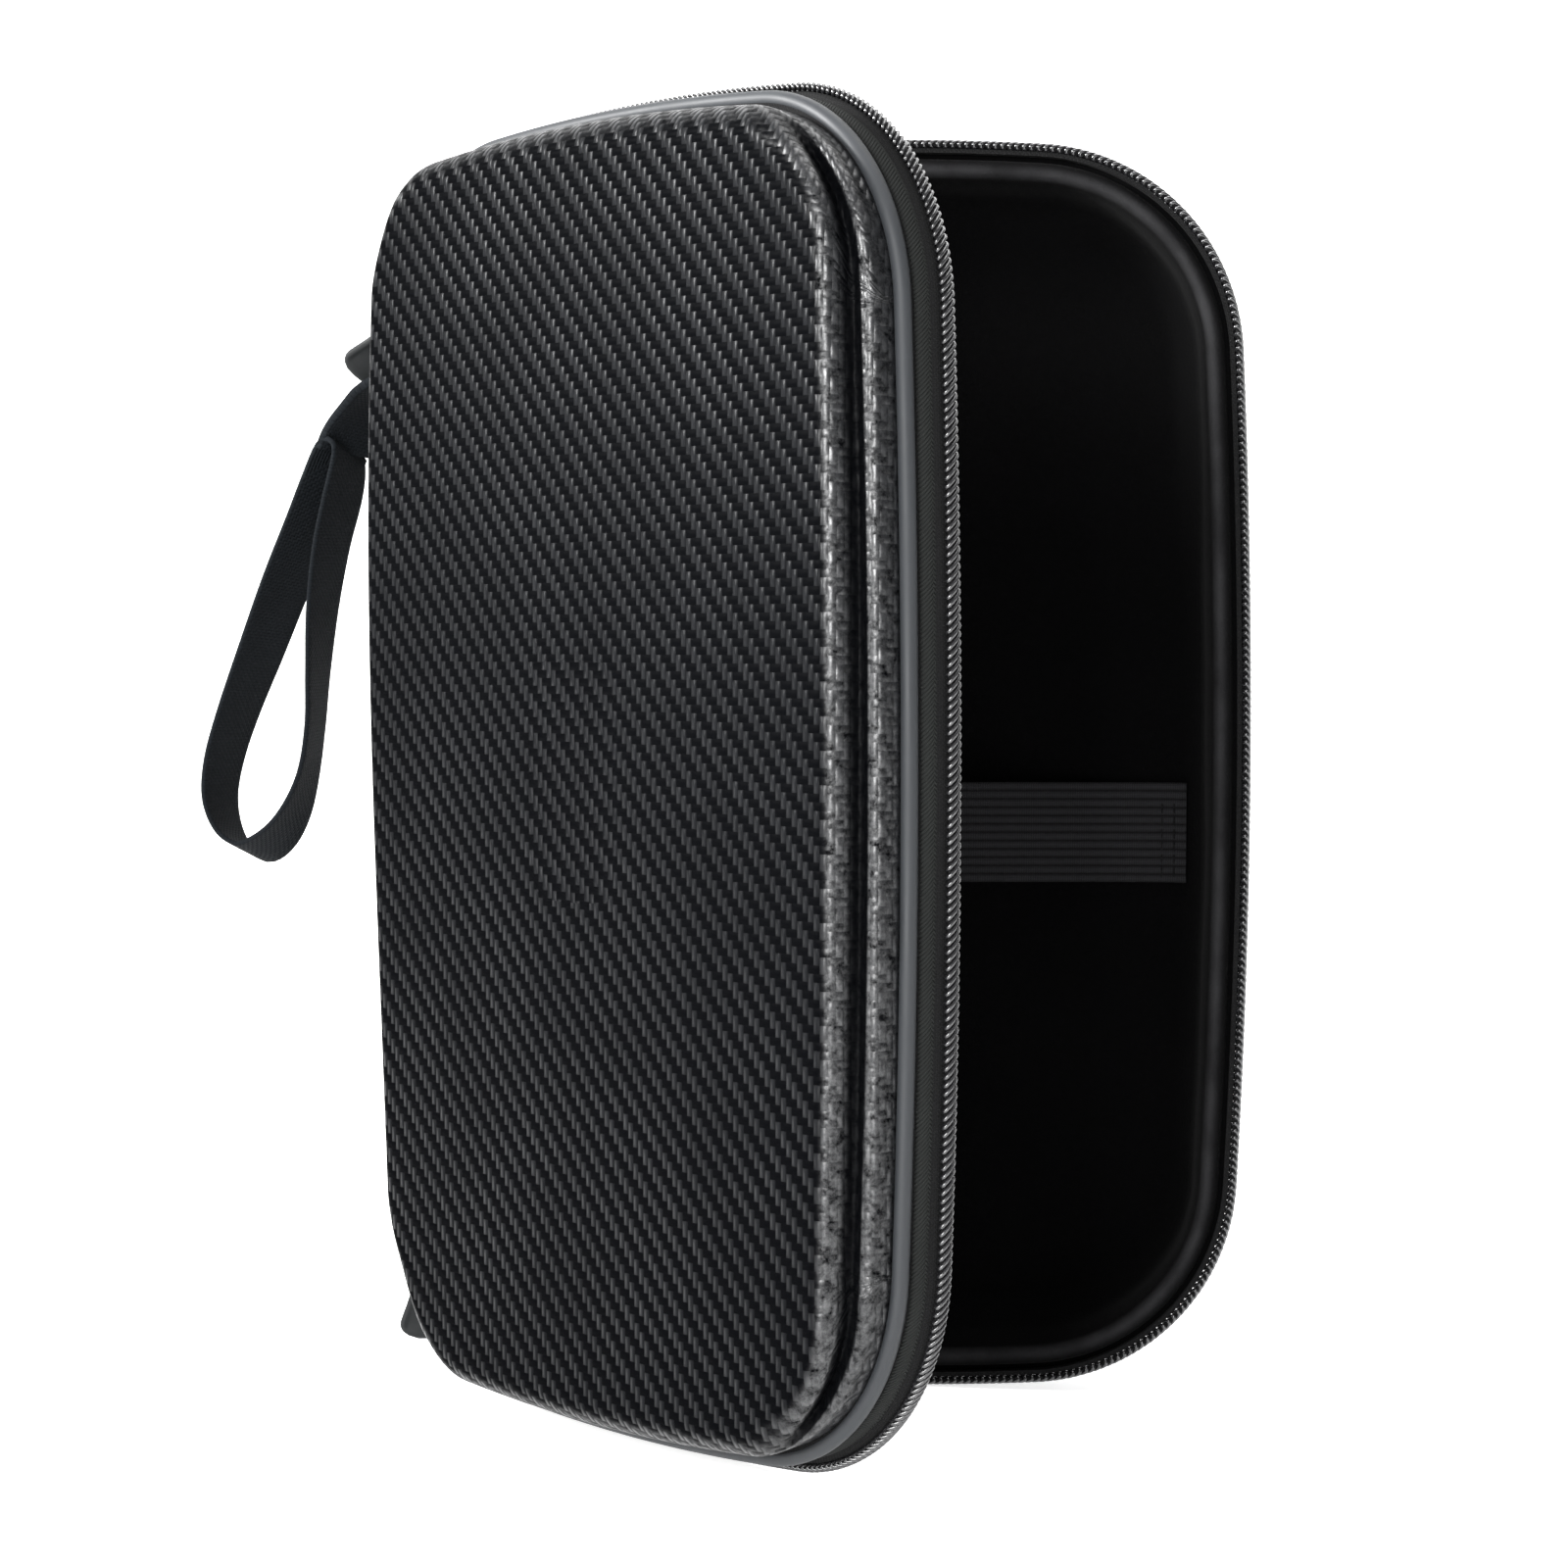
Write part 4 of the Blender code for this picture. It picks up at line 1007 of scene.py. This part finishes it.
def make_floor():
    mesh = bpy.data.meshes.new("studio_floor")
    depth = [(-4.0, 0.0)] + [(2.2 + 0.9 * math.sin(t), 0.9 - 0.9 * math.cos(t)) for t in np.linspace(0, math.pi / 2, 24)]
    depth += [(3.1, 5.0)]
    points = [(x, y, z - 0.0004) for y, z in depth for x in (-6.0, 6.0)]
    mesh.from_pydata(points, [], [(2 * k, 2 * k + 1, 2 * k + 3, 2 * k + 2) for k in range(len(depth) - 1)])
    mesh.materials.append(floor_look())
    mesh.shade_smooth()
    floor = bpy.data.objects.new("studio_floor", mesh)
    bpy.context.scene.collection.objects.link(floor)


def area_light(name, place, aim, size, power, colour=(1, 1, 1)):
    data = bpy.data.lights.new(name, "AREA")
    data.shape = "RECTANGLE"
    data.size, data.size_y = size
    data.energy = power
    data.color = colour
    lamp = bpy.data.objects.new(name, data)
    lamp.location = place
    lamp.rotation_euler = (Vector(aim) - Vector(place)).to_track_quat("-Z", "Y").to_euler()
    bpy.context.scene.collection.objects.link(lamp)


def spot_light(name, place, aim, cone, radius, power):
    data = bpy.data.lights.new(name, "SPOT")
    data.spot_size, data.spot_blend = math.radians(cone), 1.0
    data.shadow_soft_size = radius
    data.energy = power
    lamp = bpy.data.objects.new(name, data)
    lamp.location = place
    lamp.rotation_euler = (Vector(aim) - Vector(place)).to_track_quat("-Z", "Y").to_euler()
    bpy.context.scene.collection.objects.link(lamp)


def make_camera():
    """Long lens a little above the middle of the case, turned to see the lid's outer face."""
    yaw, pitch = math.radians(-10.04), math.radians(-4.0)
    data = bpy.data.cameras.new("camera")
    data.sensor_width = 36
    data.lens = 85.9
    data.shift_y = 0.075
    data.clip_start = 0.01
    camera = bpy.data.objects.new("camera", data)
    forward = Vector((math.sin(yaw) * math.cos(pitch), math.cos(yaw) * math.cos(pitch), math.sin(pitch)))
    right = Vector((math.cos(yaw), -math.sin(yaw), 0))
    up = right.cross(forward)
    turn = Matrix((right, up, -forward)).transposed().to_4x4()
    turn.translation = HINGE + Vector((0.2514, -0.8889, 0.1803))
    camera.matrix_world = turn
    bpy.context.scene.collection.objects.link(camera)
    bpy.context.scene.camera = camera


def make_world():
    world = bpy.data.worlds.new("studio")
    world.use_nodes = True
    background = world.node_tree.nodes["Background"]
    background.inputs["Color"].default_value = (1, 1, 1, 1)
    background.inputs["Strength"].default_value = 0.3
    bpy.context.scene.world = world
    bpy.context.scene.view_settings.view_transform = "Standard"


make_floor()
make_world()
area_light("left_panel", (-1.5, -0.3, 0.85), (0, 0, 0.25), (0.45, 0.6), 30)
area_light("front_panel", (-0.45, -1.8, 0.65), (0, 0, 0.2), (0.85, 0.9), 62)
area_light("top_panel", (0.3, 0.0, 1.7), (0, 0, 0.1), (1.2, 1.0), 22)
area_light("back_panel", (0.0, 1.6, 2.2), (0, 2.6, 0.4), (3.0, 1.0), 60)
spot_light("upper_glow", (-1.2, -0.3, 0.7), (0.07, -0.07, 0.27), 22, 0.15, 230)
make_camera()
